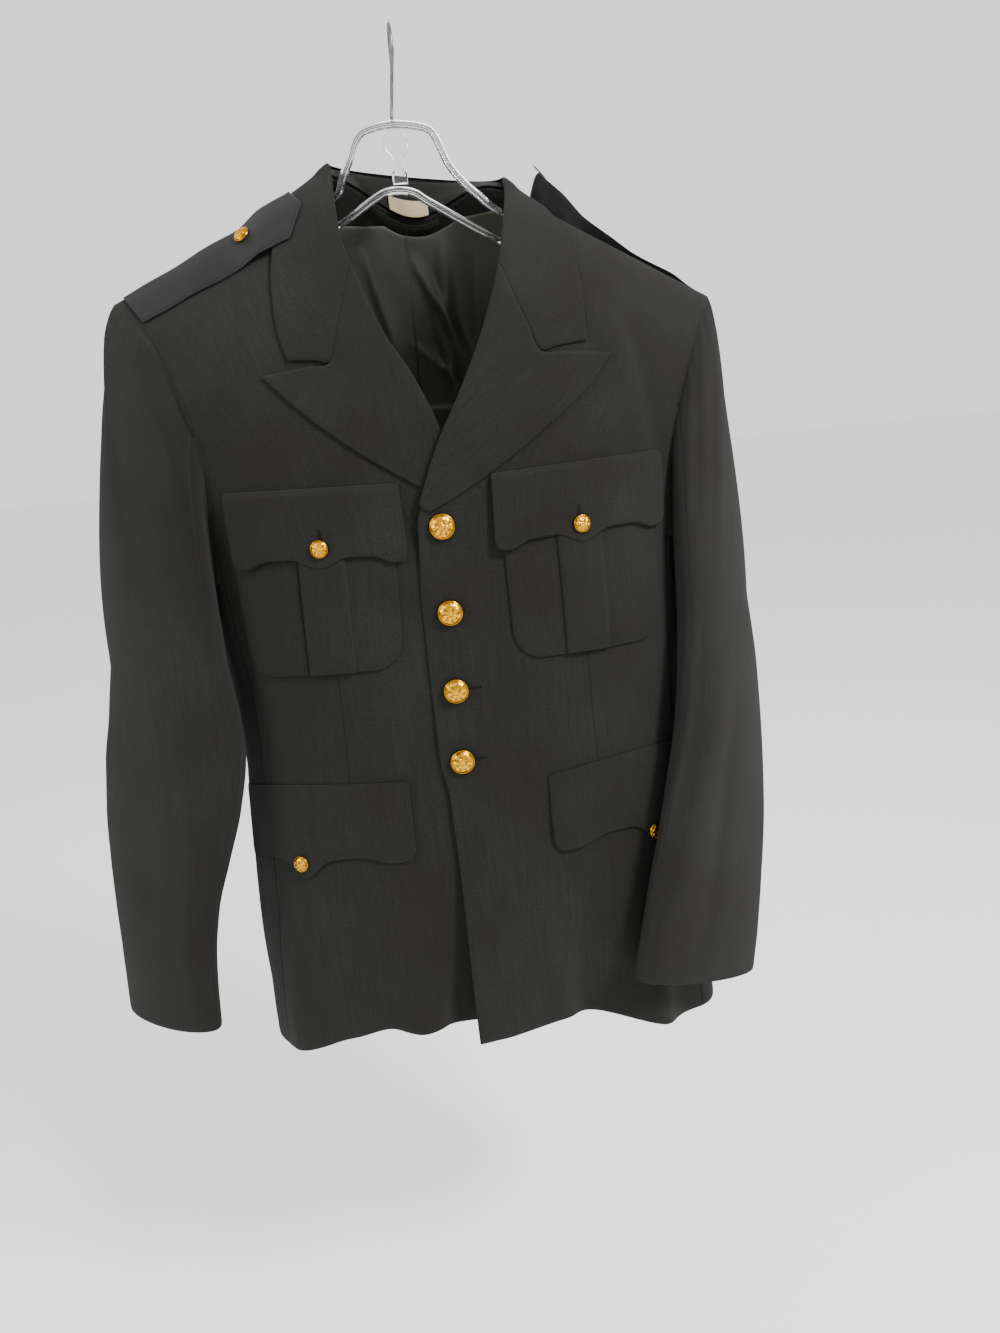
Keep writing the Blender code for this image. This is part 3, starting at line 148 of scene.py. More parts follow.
def spline(points: Array, count: int, axis: int = 0, closed: bool = False) -> Array:
    """Points spread evenly along a smooth curve through rows of points.

    Args:
        points: control points.
        count: how many points come back along the axis.
        axis: axis of the array that runs along the curve.
        closed: whether the curve comes back to its start.

    Returns:
        The finer array, with the same other axes.
    """
    points = np.moveaxis(np.asarray(points, dtype=float), axis, 0)
    size = len(points)
    place = np.linspace(0.0, size if closed else size - 1, count, endpoint=not closed)
    k = np.minimum(place.astype(int), size - 1 if closed else size - 2)
    t = (place - k).reshape((-1,) + (1,) * (points.ndim - 1))

    def row(offset: int) -> Array:
        """Control points a number of places along from each segment's start."""
        index = k + offset
        if closed:
            return points[index % size]
        ends = points[np.clip(index, 0, size - 1)]
        first = (index < 0).reshape(t.shape)
        last = (index > size - 1).reshape(t.shape)
        ends = np.where(first, 2.0 * points[0] - points[1], ends)
        return np.where(last, 2.0 * points[-1] - points[-2], ends)

    a, b, c, d = row(-1), row(0), row(1), row(2)
    out = 0.5 * (2.0 * b + (c - a) * t + (2.0 * a - 5.0 * b + 4.0 * c - d) * t ** 2
            + (3.0 * b - a - 3.0 * c + d) * t ** 3)
    return np.moveaxis(out, 0, axis)


@dataclass(frozen=True)
class Fold:
    """Soft trough or ridge pressed into the body's cloth along a path.

    The path's points are across, height: across is the distance from the middle on the
    front and the back, and the depth along Y on the flank.
    """

    side: int
    face: Face
    path: tuple[tuple[float, float], ...]
    spread: float
    depth: float
    foot_open: bool = False

    def press(self, points: Array, side: int, facing: Array) -> Array:
        """How far the fold moves each point outward.

        Args:
            points: places on the plain body.
            side: sign of the side that the points belong to.
            facing: 1 on the front, -1 on the back, 0 on the flank.

        Returns:
            The distance outward at each point.
        """
        if self.side not in (0, side):
            return np.zeros(points.shape[:-1])
        across = np.abs(points[..., 0]) if self.face is not Face.FLANK else points[..., 1]
        spot = np.stack([across, points[..., 2]], axis=-1)
        path = np.array(self.path)
        lengths = np.linalg.norm(np.diff(path, axis=0), axis=1)
        total = lengths.sum()
        best = np.full(spot.shape[:-1], 1e9)
        share = np.zeros(spot.shape[:-1])
        done = 0.0
        for k, length in enumerate(lengths):
            way = (path[k + 1] - path[k]) / length
            t = np.clip(((spot - path[k]) @ way), 0.0, length)
            gap = np.linalg.norm(spot - (path[k] + t[..., None] * way), axis=-1)
            near = gap < best
            best = np.where(near, gap, best)
            share = np.where(near, (done + t) / total, share)
            done += length
        fade = np.sin(math.pi * share * 0.5) if self.foot_open else np.sin(math.pi * share)
        fade = np.clip(fade, 0.0, 1.0) ** 0.7
        if self.face is Face.FRONT:
            weight = smooth(facing / 0.35)
        elif self.face is Face.BACK:
            weight = smooth(-facing / 0.35)
        else:
            weight = smooth((0.75 - np.abs(facing)) / 0.35)
        return self.depth * fade * weight * np.exp(-((best / self.spread) ** 2))


@dataclass
class BodyForm:
    """Shape of the hanging body: rounded oblong sections that close on the shoulder ridge."""

    cloth: float = 0.0016
    lay_gap: float = 0.0005
    seam_gap: float = 0.0003
    oblong: float = 2.5
    break_z: float = -0.415
    underarm_z: float = -0.455
    underarm_dip: float = 0.02
    seam_front: float = 61.6
    seam_back: float = 121.0
    seam_angle: float = 0.05
    ridge_power: float = 0.75
    ridge_middle_z: float = -0.086
    neck_middle_x: float = 0.011
    neck_half_width: float = 0.077
    neck_back_z: float = -0.145
    tuck_x: float = 0.076
    tuck_run: float = 0.044
    # columns: height, half width on -X, half width on +X, depth to the front, depth to the back
    sections: Array = field(default_factory=lambda: np.array([
        [-0.96, 0.223, 0.236, 0.127, 0.124], [-0.9, 0.223, 0.232, 0.125, 0.121],
        [-0.83, 0.221, 0.226, 0.12, 0.113], [-0.76, 0.217, 0.223, 0.114, 0.103],
        [-0.69, 0.214, 0.221, 0.109, 0.094], [-0.62, 0.214, 0.22, 0.107, 0.09],
        [-0.55, 0.217, 0.221, 0.11, 0.097], [-0.48, 0.223, 0.223, 0.112, 0.107],
        [-0.415, 0.231, 0.231, 0.11, 0.114], [-0.34, 0.255, 0.258, 0.11, 0.117],
        [-0.277, 0.28, 0.292, 0.11, 0.117], [-0.19, 0.312, 0.325, 0.11, 0.117],
        [-0.08, 0.33, 0.345, 0.11, 0.117]]))
    # columns: angle from the front centre, hem height on -X, hem height on +X
    hem: Array = field(default_factory=lambda: np.array([
        [-8.0, -0.891, -0.9], [0.0, -0.889, -0.899], [12.0, -0.889, -0.896], [22.0, -0.887, -0.901],
        [35.0, -0.894, -0.921], [50.0, -0.906, -0.93], [75.0, -0.917, -0.942], [100.0, -0.926, -0.95],
        [140.0, -0.932, -0.946], [180.0, -0.936, -0.936]]))
    # columns: side, angle of the middle, half spread, depth outward, height where it starts
    hem_folds: Array = field(default_factory=lambda: np.array([
        [-1, 49.0, 11.0, 0.011, -0.74], [-1, 26.0, 7.0, -0.011, -0.76], [-1, 13.0, 6.0, 0.004, -0.76],
        [-1, 138.0, 9.0, -0.01, -0.7], [-1, 160.0, 9.0, 0.01, -0.66],
        [1, -4.0, 7.0, 0.012, -0.7], [1, 20.0, 7.5, -0.02, -0.76], [1, 34.0, 8.0, 0.014, -0.74],
        [1, 54.0, 9.0, -0.006, -0.76], [1, 136.0, 9.0, -0.009, -0.7], [1, 158.0, 9.0, 0.011, -0.66]]))
    # neck point and fall per metre outward, per side
    neck_x: dict = field(default_factory=lambda: {-1: 0.066, 1: 0.088})
    neck_z: dict = field(default_factory=lambda: {-1: -0.115, 1: -0.137})
    fall: dict = field(default_factory=lambda: {-1: 0.455, 1: 0.578})
    # columns: rise from the chest line to the ridge, distance out in front, and behind
    armhole: dict = field(default_factory=lambda: {
        -1: np.array([[0.0, 0.203, 0.213], [0.24, 0.198, 0.216], [0.4, 0.206, 0.222],
            [0.6, 0.22, 0.232], [0.85, 0.244, 0.249], [1.0, 0.265, 0.265]]),
        1: np.array([[0.0, 0.205, 0.214], [0.24, 0.21, 0.22], [0.54, 0.229, 0.238],
            [0.72, 0.242, 0.249], [0.81, 0.25, 0.254], [1.0, 0.268, 0.268]])})
    # columns: height, x
    front_edge: dict = field(default_factory=lambda: {
        1: np.array([[-0.96, -0.019], [-0.9, -0.02], [-0.666, -0.024], [-0.63, -0.029],
            [-0.5, -0.03], [-0.415, -0.025]]),
        -1: np.array([[-0.96, 0.002], [-0.76, 0.012], [-0.64, 0.018], [-0.415, 0.018]])})
    roll_line: dict = field(default_factory=lambda: {
        1: np.array([[-0.415, -0.025], [-0.358, -0.001], [-0.319, 0.021], [-0.268, 0.047],
            [-0.217, 0.067], [-0.188, 0.077], [-0.137, 0.088], [-0.08, 0.09]]),
        -1: np.array([[-0.415, 0.018], [-0.343, 0.001], [-0.294, -0.018], [-0.261, -0.036],
            [-0.2, -0.057], [-0.177, -0.064], [-0.119, -0.066], [-0.08, -0.066]])})
    folds: tuple = ()

    def __post_init__(self) -> None:
        """Make a curve of each column that the sections and edges are read from."""
        self.width_curve = {-1: Curve.column(self.sections, 1), 1: Curve.column(self.sections, 2)}
        self.depth_front = Curve.column(self.sections, 3)
        self.depth_back = Curve.column(self.sections, 4)
        self.hem_curve = {-1: Curve.column(self.hem, 1), 1: Curve.column(self.hem, 2)}
        self.edge_curve = {s: Curve.column(self.front_edge[s], 1) for s in (-1, 1)}
        self.roll_curve = {s: Curve.column(self.roll_line[s], 1) for s in (-1, 1)}
        self.armhole_front = {s: Curve.column(self.armhole[s], 1) for s in (-1, 1)}
        self.armhole_back = {s: Curve.column(self.armhole[s], 2) for s in (-1, 1)}

    def ridge(self, side: int, x: Array) -> Array:
        """Height of the shoulder ridge at a distance from the middle."""
        line = self.neck_z[side] - self.fall[side] * (x - self.neck_x[side])
        share = smooth(x / self.neck_x[side])
        return line * share + self.ridge_middle_z * (1.0 - share)

    def half_width(self, side: int, height: Array) -> Array:
        """Half width of the body at a height."""
        return self.width_curve[side].at(height)

    def angle_at(self, side: int, x: Array, height: Array) -> Array:
        """Angle from the front centre of the point at a distance x outward."""
        share = np.clip(x / self.half_width(side, height), -0.999, 0.999)
        return np.degrees(np.arcsin(np.abs(share) ** (self.oblong / 2.0))) * np.sign(share)

    def plain(self, side: int, angle: Array, height: Array) -> Array:
        """Point of the body before its small folds, at an angle and a height."""
        angle = np.asarray(angle, dtype=float)
        height = np.asarray(height, dtype=float)
        across = np.sin(np.radians(angle))
        along = np.cos(np.radians(angle))
        x = self.half_width(side, height) * np.sign(across) * np.abs(across) ** (2.0 / self.oblong)
        ridge = self.ridge(side, np.abs(x))
        rise = np.clip((height - self.break_z) / (ridge - self.break_z), 0.0, 1.0)
        ease = np.sin(math.pi / 2.0 * (1.0 - rise) ** self.ridge_power)
        depth = np.where(along > 0.0, -self.depth_front.at(height), self.depth_back.at(height))
        y = depth * np.abs(along) ** (2.0 / self.oblong) * ease
        lift = np.zeros_like(x)
        for own, middle, spread, reach, start in self.hem_folds:
            if own == side:
                grow = smooth((start - height) / (start + 0.905))
                lift = lift + reach * grow * np.exp(-(((angle - middle) / spread) ** 2))
        radius = np.maximum(np.hypot(x, y), 0.05)
        return np.stack([side * x * (1.0 + lift / radius), y * (1.0 + lift / radius),
                height + 0.0 * x], axis=-1)

    def shell(self, side: int, angle: Array, height: Array) -> Array:
        """Point of the cloth's outer face, small folds included."""
        points = self.plain(side, angle, height)
        facing = np.cos(np.radians(np.asarray(angle, dtype=float))) + 0.0 * points[..., 0]
        press = np.zeros(points.shape[:-1])
        for fold in self.folds:
            press = press + fold.press(points, side, facing)
        ridge = self.ridge(side, np.abs(points[..., 0]))
        hold = smooth((ridge - points[..., 2]) / 0.035)
        away = points * np.array([0.35, 1.0, 0.0])
        return points + unit(away) * (press * hold)[..., None]

    def outward(self, side: int, angle: Array, height: Array) -> Array:
        """Outward direction of the cloth's outer face."""
        step = 0.6
        drop = 0.004
        around = self.shell(side, angle + step, height) - self.shell(side, angle - step, height)
        up = self.shell(side, angle, height) - self.shell(side, angle, height - drop)
        return unit(np.cross(around, up) * side)

    def on_body(self, side: int, angle: Array, height: Array, out: Array = 0.0) -> Array:
        """Point at an angle and a height, moved out from the cloth."""
        out = np.asarray(out, dtype=float)[..., None]
        return self.shell(side, angle, height) + self.outward(side, angle, height) * out

    def on_front(self, side: int, x: Array, height: Array, out: Array = 0.0) -> Array:
        """Point of the front at a distance x outward, moved out from the cloth."""
        return self.on_body(side, self.angle_at(side, x, height), height, out)

    def on_back(self, side: int, x: Array, height: Array, out: Array = 0.0) -> Array:
        """Point of the back at a distance x outward, moved out from the cloth."""
        return self.on_body(side, 180.0 - self.angle_at(side, x, height), height, out)

    def front_normal(self, side: int, x: Array, height: Array) -> Array:
        """Outward direction of the front at a distance x outward."""
        return self.outward(side, self.angle_at(side, x, height), height)

    def underarm_height(self, angle: Array) -> Array:
        """Height of the foot of the armhole at an angle."""
        share = np.clip((angle - self.seam_front) / (self.seam_back - self.seam_front), 0.0, 1.0)
        return self.underarm_z - self.underarm_dip * np.sin(math.pi * share)

    def tuck(self, side: int, x: Array, height: Array) -> Array:
        """How far the covered right front lies inside the other one."""
        if side > 0:
            return 0.0 * x
        inward = smooth((self.tuck_x - x) / self.tuck_run)
        upper = smooth((height + 0.45) / 0.03)
        lower = smooth((-0.7 - height) / 0.2)
        return -inward * (0.004 + 0.0034 * upper + 0.012 * lower)

    def place_front(self, side: int, x: Array, height: Array, out: Array = 0.0) -> Array:
        """Point of a front panel, with the tuck of the covered edge."""
        return self.on_front(side, x, height, out + self.tuck(side, x, height))

    def neckline(self, side: int, x: Array) -> Array:
        """Height of the neck seam on the back."""
        share = np.clip((side * x - self.neck_middle_x) / self.neck_half_width, -1.0, 1.0) ** 2
        return self.neck_back_z * (1.0 - share) + self.ridge(side, x) * share


class NodeSheet:
    """Small helper that adds and joins shader nodes of one material."""

    def __init__(self, name: str) -> None:
        """Start a material with an empty tree and its output."""
        self.material = bpy.data.materials.new(name)
        self.material.use_nodes = True
        self.tree = self.material.node_tree
        self.tree.nodes.clear()
        self.output = self.tree.nodes.new("ShaderNodeOutputMaterial")

    def add(self, kind: str, values: dict | None = None, **settings: object) -> bpy.types.Node:
        """Add a node.

        Args:
            kind: type name of the node.
            values: socket name or number to a value, or to another node's socket.
            settings: attributes set on the node first.

        Returns:
            The new node.
        """
        node = self.tree.nodes.new(kind)
        for key, value in settings.items():
            setattr(node, key, value)
        for key, value in (values or {}).items():
            if isinstance(value, bpy.types.NodeSocket):
                self.tree.links.new(value, node.inputs[key])
            else:
                node.inputs[key].default_value = value
        return node

    def mix(self, share: object, low: object, high: object) -> bpy.types.NodeSocket:
        """Mix two colours by a share."""
        node = self.add("ShaderNodeMix", {0: share, 6: low, 7: high}, data_type="RGBA")
        return node.outputs[2]

    def math(self, kind: str, first: object, second: object = 0.5) -> bpy.types.NodeSocket:
        """Work out one number from two."""
        return self.add("ShaderNodeMath", {0: first, 1: second}, operation=kind).outputs[0]

    def noise(self, vector: bpy.types.NodeSocket, scale: float, detail: float = 2.0,
            rough: float = 0.5) -> bpy.types.NodeSocket:
        """Noise pattern of a scale over a vector."""
        values = {"Vector": vector, "Scale": scale, "Detail": detail, "Roughness": rough}
        return self.add("ShaderNodeTexNoise", values).outputs["Fac"]

    def finish(self, shader: bpy.types.Node) -> bpy.types.Material:
        """Join the shader to the output and hand back the material."""
        self.tree.links.new(shader.outputs[0], self.output.inputs["Surface"])
        return self.material


def colour(red: float, green: float, blue: float) -> tuple[float, float, float, float]:
    """Opaque colour from three linear shares."""
    return (red, green, blue, 1.0)


@dataclass(frozen=True)
class WovenFinish:
    """Woven cloth: threads both ways, soft fuzz, slow changes of tone."""

    name: str
    base: tuple[float, float, float]
    light: tuple[float, float, float]
    dark: tuple[float, float, float]
    thread: float = 0.00062
    rough: float = 0.82
    sheen: float = 0.1
    sheen_rough: float = 0.5
    specular: float = 0.3
    bump: float = 0.35
    cross_share: float = 0.5
    slub: float = 0.5

    def material(self) -> bpy.types.Material:
        """Material of the cloth, on its own map in metres."""
        sheet = NodeSheet(self.name)
        grain = sheet.add("ShaderNodeUVMap", uv_map="grain").outputs["UV"]
        place = sheet.add("ShaderNodeTexCoord").outputs["Object"]
        scale = 0.31416 / self.thread
        bend = {"Vector": grain, "Scale": scale, "Distortion": 0.6, "Detail": 1.0, "Detail Scale": 0.4}
        warp = sheet.add("ShaderNodeTexWave", bend, bands_direction="X").outputs["Fac"]
        weft = sheet.add("ShaderNodeTexWave", bend, bands_direction="Y").outputs["Fac"]
        weave = sheet.math("ADD", sheet.math("MULTIPLY", warp, 1.0 - self.cross_share),
                sheet.math("MULTIPLY", weft, self.cross_share))
        fuzz = sheet.noise(grain, 430.0, 4.0, 0.75)
        stretched = sheet.add("ShaderNodeMapping", {"Vector": grain, "Scale": (1.0, 0.06, 1.0)})
        streak = sheet.noise(stretched.outputs["Vector"], 300.0, 2.0, 0.6)
        slow = sheet.noise(place, 9.0, 2.0, 0.5)
        tone = sheet.math("ADD", sheet.math("MULTIPLY", weave, 0.35), sheet.math("MULTIPLY", fuzz, 0.45))
        tone = sheet.math("ADD", tone, sheet.math("MULTIPLY", streak, 0.35 * self.slub))
        tone = sheet.add("ShaderNodeMapRange", {"Value": tone, "From Min": 0.3, "From Max": 0.75}).outputs[0]
        mixed = sheet.mix(tone, colour(*self.base), colour(*self.light))
        slow = sheet.add("ShaderNodeMapRange", {"Value": slow, "From Min": 0.35, "From Max": 0.7,
                "To Max": 0.55}).outputs[0]
        mixed = sheet.mix(slow, mixed, colour(*self.dark))
        relief = sheet.math("ADD", weave, sheet.math("MULTIPLY", fuzz, 0.8))
        bump = sheet.add("ShaderNodeBump", {"Height": relief, "Strength": self.bump, "Distance": 0.0004})
        shader = sheet.add("ShaderNodeBsdfPrincipled", {
            "Base Color": mixed, "Roughness": self.rough, "Normal": bump.outputs[0],
            "Sheen Weight": self.sheen, "Sheen Roughness": self.sheen_rough,
            "Specular IOR Level": self.specular})
        return sheet.finish(shader)


@dataclass(frozen=True)
class GoldFinish:
    """Gilt metal, darker and redder in the hollows of its relief."""

    name: str = "Gilt_Metal"
    high: tuple[float, float, float] = (0.8, 0.41, 0.02)
    low: tuple[float, float, float] = (0.16, 0.055, 0.002)
    rough: float = 0.2

    def material(self) -> bpy.types.Material:
        """Material of the buttons."""
        sheet = NodeSheet(self.name)
        place = sheet.add("ShaderNodeTexCoord").outputs["Object"]
        relief = sheet.add("ShaderNodeAttribute", attribute_name="relief").outputs["Fac"]
        wear = sheet.noise(place, 700.0, 3.0, 0.6)
        share = sheet.math("ADD", relief, sheet.math("MULTIPLY", sheet.math("SUBTRACT", wear, 0.5), 0.5))
        share = sheet.add("ShaderNodeMapRange", {"Value": share}).outputs[0]
        mixed = sheet.mix(share, colour(*self.low), colour(*self.high))
        rough = sheet.add("ShaderNodeMapRange", {"Value": wear, "To Min": self.rough - 0.06,
                "To Max": self.rough + 0.14}).outputs[0]
        bump = sheet.add("ShaderNodeBump", {"Height": wear, "Strength": 0.25, "Distance": 0.0002})
        shader = sheet.add("ShaderNodeBsdfPrincipled", {
            "Base Color": mixed, "Metallic": 1.0, "Roughness": rough, "Normal": bump.outputs[0]})
        return sheet.finish(shader)


@dataclass(frozen=True)
class ClearFinish:
    """Clear moulded plastic with faint haze."""

    name: str = "Clear_Plastic"
    tint: tuple[float, float, float] = (0.93, 0.94, 0.94)

    def material(self) -> bpy.types.Material:
        """Material of the hanger."""
        sheet = NodeSheet(self.name)
        place = sheet.add("ShaderNodeTexCoord").outputs["Object"]
        haze = sheet.noise(place, 60.0, 3.0, 0.6)
        rough = sheet.add("ShaderNodeMapRange", {"Value": haze, "To Min": 0.01, "To Max": 0.05}).outputs[0]
        bump = sheet.add("ShaderNodeBump", {"Height": haze, "Strength": 0.03, "Distance": 0.0003})
        shader = sheet.add("ShaderNodeBsdfPrincipled", {
            "Base Color": colour(*self.tint), "Roughness": rough, "Normal": bump.outputs[0],
            "IOR": 1.49, "Transmission Weight": 1.0, "Specular IOR Level": 0.5})
        return sheet.finish(shader)


@dataclass(frozen=True)
class WireFinish:
    """Drawn steel wire with fine lines along it."""

    name: str = "Drawn_Wire"
    base: tuple[float, float, float] = (0.2, 0.2, 0.2)
    dull: tuple[float, float, float] = (0.1, 0.1, 0.1)

    def material(self) -> bpy.types.Material:
        """Material of the hook."""
        sheet = NodeSheet(self.name)
        place = sheet.add("ShaderNodeTexCoord").outputs["Object"]
        spots = sheet.noise(place, 260.0, 3.0, 0.6)
        mixed = sheet.mix(spots, colour(*self.base), colour(*self.dull))
        rough = sheet.add("ShaderNodeMapRange", {"Value": spots, "To Min": 0.22, "To Max": 0.45}).outputs[0]
        bump = sheet.add("ShaderNodeBump", {"Height": spots, "Strength": 0.1, "Distance": 0.0002})
        shader = sheet.add("ShaderNodeBsdfPrincipled", {
            "Base Color": mixed, "Metallic": 0.95, "Roughness": rough, "Normal": bump.outputs[0]})
        return sheet.finish(shader)


@dataclass(frozen=True)
class ThreadFinish:
    """Twisted sewing thread."""

    name: str
    base: tuple[float, float, float]
    rough: float = 0.6

    def material(self) -> bpy.types.Material:
        """Material of the stitches."""
        sheet = NodeSheet(self.name)
        place = sheet.add("ShaderNodeTexCoord").outputs["Object"]
        twist = sheet.noise(place, 1600.0, 2.0, 0.6)
        darker = tuple(0.6 * v for v in self.base)
        mixed = sheet.mix(twist, colour(*darker), colour(*self.base))
        shader = sheet.add("ShaderNodeBsdfPrincipled", {
            "Base Color": mixed, "Roughness": self.rough, "Specular IOR Level": 0.1})
        return sheet.finish(shader)


@dataclass
class Wardrobe:
    """The finishes of the jacket, made once and shared."""

    wool: WovenFinish = WovenFinish("Wool_Cloth", (0.0044, 0.0045, 0.0041), (0.025, 0.0253, 0.023),
            (0.0072, 0.0064, 0.0052), sheen=0.03, specular=0.08, bump=0.8)
    satin: WovenFinish = WovenFinish("Loop_Cloth", (0.004, 0.0042, 0.0043), (0.0125, 0.013, 0.0134),
            (0.0026, 0.0027, 0.0027), thread=0.0005, rough=0.5, sheen=0.02,
            specular=0.14, bump=0.3, slub=1.2)
    lining: WovenFinish = WovenFinish("Lining_Cloth", (0.024, 0.027, 0.018), (0.044, 0.048, 0.034),
            (0.017, 0.019, 0.013), thread=0.0003, rough=0.42, sheen=0.05,
            specular=0.5, bump=0.12)
    label: WovenFinish = WovenFinish("Label_Cloth", (0.3, 0.24, 0.14), (0.44, 0.36, 0.23),
            (0.27, 0.21, 0.13), thread=0.0007, rough=0.8, bump=0.4)
    thread: ThreadFinish = ThreadFinish("Dark_Thread", (0.026, 0.027, 0.024))
    hole_thread: ThreadFinish = ThreadFinish("Buttonhole_Thread", (0.004, 0.004, 0.004))
    label_thread: ThreadFinish = ThreadFinish("Label_Thread", (0.45, 0.4, 0.32))

    def __post_init__(self) -> None:
        """Build each material once."""
        self.made = {finish.name: finish.material() for finish in (
            self.wool, self.satin, self.lining, self.label, self.thread, self.hole_thread,
            self.label_thread, GoldFinish(), ClearFinish(), WireFinish())}

    def get(self, name: str) -> bpy.types.Material:
        """Material of a finish by its name."""
        return self.made[name]


@dataclass
class Tailor:
    """Makes closed cloth walls, and the stitches on them, from grids of outer points."""

    wardrobe: Wardrobe
    edge_round: float = 0.42
    edge_drop: float = 0.2
    seam_round: float = 0.22
    stitch_pitch: float = 0.003
    stitch_width: float = 0.00022

    def normals(self, grid: Array, hint: Array) -> Array:
        """Outward direction at each point of a grid; the hint tells which side faces out."""
        normal = unit(np.cross(np.gradient(grid, axis=1), np.gradient(grid, axis=0)))
        middle = normal[grid.shape[0] // 2, grid.shape[1] // 2]
        return normal if float(np.dot(middle, hint)) > 0.0 else -normal

    def mesh(self, name: str, points: Array, faces: list, finish: str,
            grain: Array | None = None) -> bpy.types.Object:
        """Smooth object from points and faces.

        Args:
            name: name of the piece.
            points: its points.
            faces: its faces as tuples of point numbers.
            finish: name of its finish.
            grain: map of the weave in metres, one pair a point.

        Returns:
            The new object, in the scene.
        """
        mesh = bpy.data.meshes.new(name)
        mesh.from_pydata(np.asarray(points, dtype=float).tolist(), [], faces)
        mesh.polygons.foreach_set("use_smooth", np.ones(len(mesh.polygons), dtype=bool))
        if grain is not None:
            layer = mesh.uv_layers.new(name="grain")
            corners = np.empty(len(mesh.loops), dtype=np.int32)
            mesh.loops.foreach_get("vertex_index", corners)
            layer.data.foreach_set("uv", np.asarray(grain, dtype=np.float32)[corners].ravel())
        mesh.update()
        item = bpy.data.objects.new(name, mesh)
        bpy.context.scene.collection.objects.link(item)
        mesh.materials.append(self.wardrobe.get(finish))
        return item

    def wall(self, name: str, grid: Array, normals: Array, finish: str,
            thickness: float = 0.0016, turn: float = 0.0, sewn: str = "") -> bpy.types.Object:
        """Closed cloth wall with soft edges under a grid of outer points.

        Args:
            name: name of the piece.
            grid: outer points, rows by columns.
            normals: outward directions, rows by columns.
            finish: name of its finish.
            thickness: thickness of the cloth.
            turn: angle between the weave and the rows.
            sewn: edges that end in a seam, named by letters: f first row, l last row,
                s first column, e last column.

        Returns:
            The closed wall.
        """
        rows, columns = grid.shape[:2]
        grid = grid.copy()
        inner = grid - normals * thickness
        top = list(range(columns))
        right = [r * columns + columns - 1 for r in range(1, rows)]
        bottom = [(rows - 1) * columns + c for c in range(columns - 2, -1, -1)]
        left = [r * columns for r in range(rows - 2, 0, -1)]
        border = np.array(top + right + bottom + left)
        flat = grid.reshape(-1, 3)
        low = inner.reshape(-1, 3)
        inside = np.clip(border // columns, 1, rows - 2) * columns + np.clip(border % columns, 1, columns - 2)
        away = unit(flat[border] - flat[inside])
        reach = np.linalg.norm(flat[border] - flat[inside], axis=-1, keepdims=True)
        draw = np.minimum(thickness * self.edge_round, reach * 0.6)
        facing = normals.reshape(-1, 3)[border]
        middle = flat[border] - facing * thickness * 0.5
        flat = flat.copy()
        low = low.copy()
        row, column = border // columns, border % columns
        closed = np.zeros(len(border), dtype=bool)
        for letter, own in (("f", row == 0), ("l", row == rows - 1), ("s", column == 0), ("e",
                column == columns - 1)):
            closed |= own & (letter in sewn)
        soft = np.where(closed, self.seam_round, 1.0)[:, None]
        flat[border] -= (away * draw + facing * thickness * self.edge_drop) * soft
        low[border] -= (away * draw - facing * thickness * self.edge_drop) * soft
        points = np.concatenate([flat, low, middle])
        below = rows * columns
        corner = (np.arange(rows - 1)[:, None] * columns + np.arange(columns - 1)[None, :]).ravel()
        quads = np.stack([corner, corner + 1, corner + columns + 1, corner + columns], axis=1)
        count = len(border)
        after = np.roll(border, -1)
        ring = 2 * below + np.arange(count)
        ring_after = 2 * below + np.roll(np.arange(count), -1)
        upper = np.stack([after, border, ring, ring_after], axis=1)
        lower = np.stack([ring_after, ring, below + border, below + after], axis=1)
        faces = np.concatenate([quads, below + quads[:, ::-1], upper, lower])
        spot_r, spot_c = rows // 2, columns // 2
        first = np.cross(grid[spot_r, spot_c] - grid[spot_r, spot_c - 1],
                grid[spot_r, spot_c] - grid[spot_r - 1, spot_c])
        if float(np.dot(first, normals[spot_r, spot_c])) < 0.0:
            faces = faces[:, ::-1]
        across = np.concatenate([np.zeros((rows, 1)), np.cumsum(
            np.linalg.norm(np.diff(grid, axis=1), axis=-1), axis=1)], axis=1)
        along = np.concatenate([[0.0], np.cumsum(
            np.linalg.norm(np.diff(grid, axis=0), axis=-1).mean(axis=1))])
        weave = np.stack([across, along[:, None] + 0.0 * across], axis=-1).reshape(-1, 2)
        if turn:
            angle = math.radians(turn)
            spin = np.array([[math.cos(angle), math.sin(angle)], [-math.sin(angle), math.cos(angle)]])
            weave = weave @ spin
        grain = np.concatenate([weave, weave, weave[border]])
        return self.mesh(name, points, faces.tolist(), finish, grain)

    def sheet(self, piece: bpy.types.Object, grid: Array, rests_on: list[str],
            with_pieces: list | None = None, held: str = "hung") -> None:
        """Log the cut of a wall of cloth, worked out from its own sections.

        Args:
            piece: the wall.
            grid: its outer points.
            rests_on: not used.
            with_pieces: not used.
            held: not used.
        """
        width = float(np.linalg.norm(np.diff(grid, axis=1), axis=-1).sum(axis=1).max())
        length = float(np.linalg.norm(np.diff(grid, axis=0), axis=-1).sum(axis=0).max())
        a, b = grid[1:, 1:] - grid[:-1, :-1], grid[1:, :-1] - grid[:-1, 1:]
        area = float(np.linalg.norm(np.cross(a, b), axis=-1).sum() / 2.0)
        area = min(area, width * length)
        LOG.info("%s: cut %.3f by %.3f m, %.4f square metres", piece.name, width, length, area)

    def dress(self, piece: bpy.types.Object, slot: str, nodes: list[str]) -> None:
        """Put a piece on the body and hide the solids that it stands for."""
        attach(piece, "root")
        if nodes:
            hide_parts(*nodes)

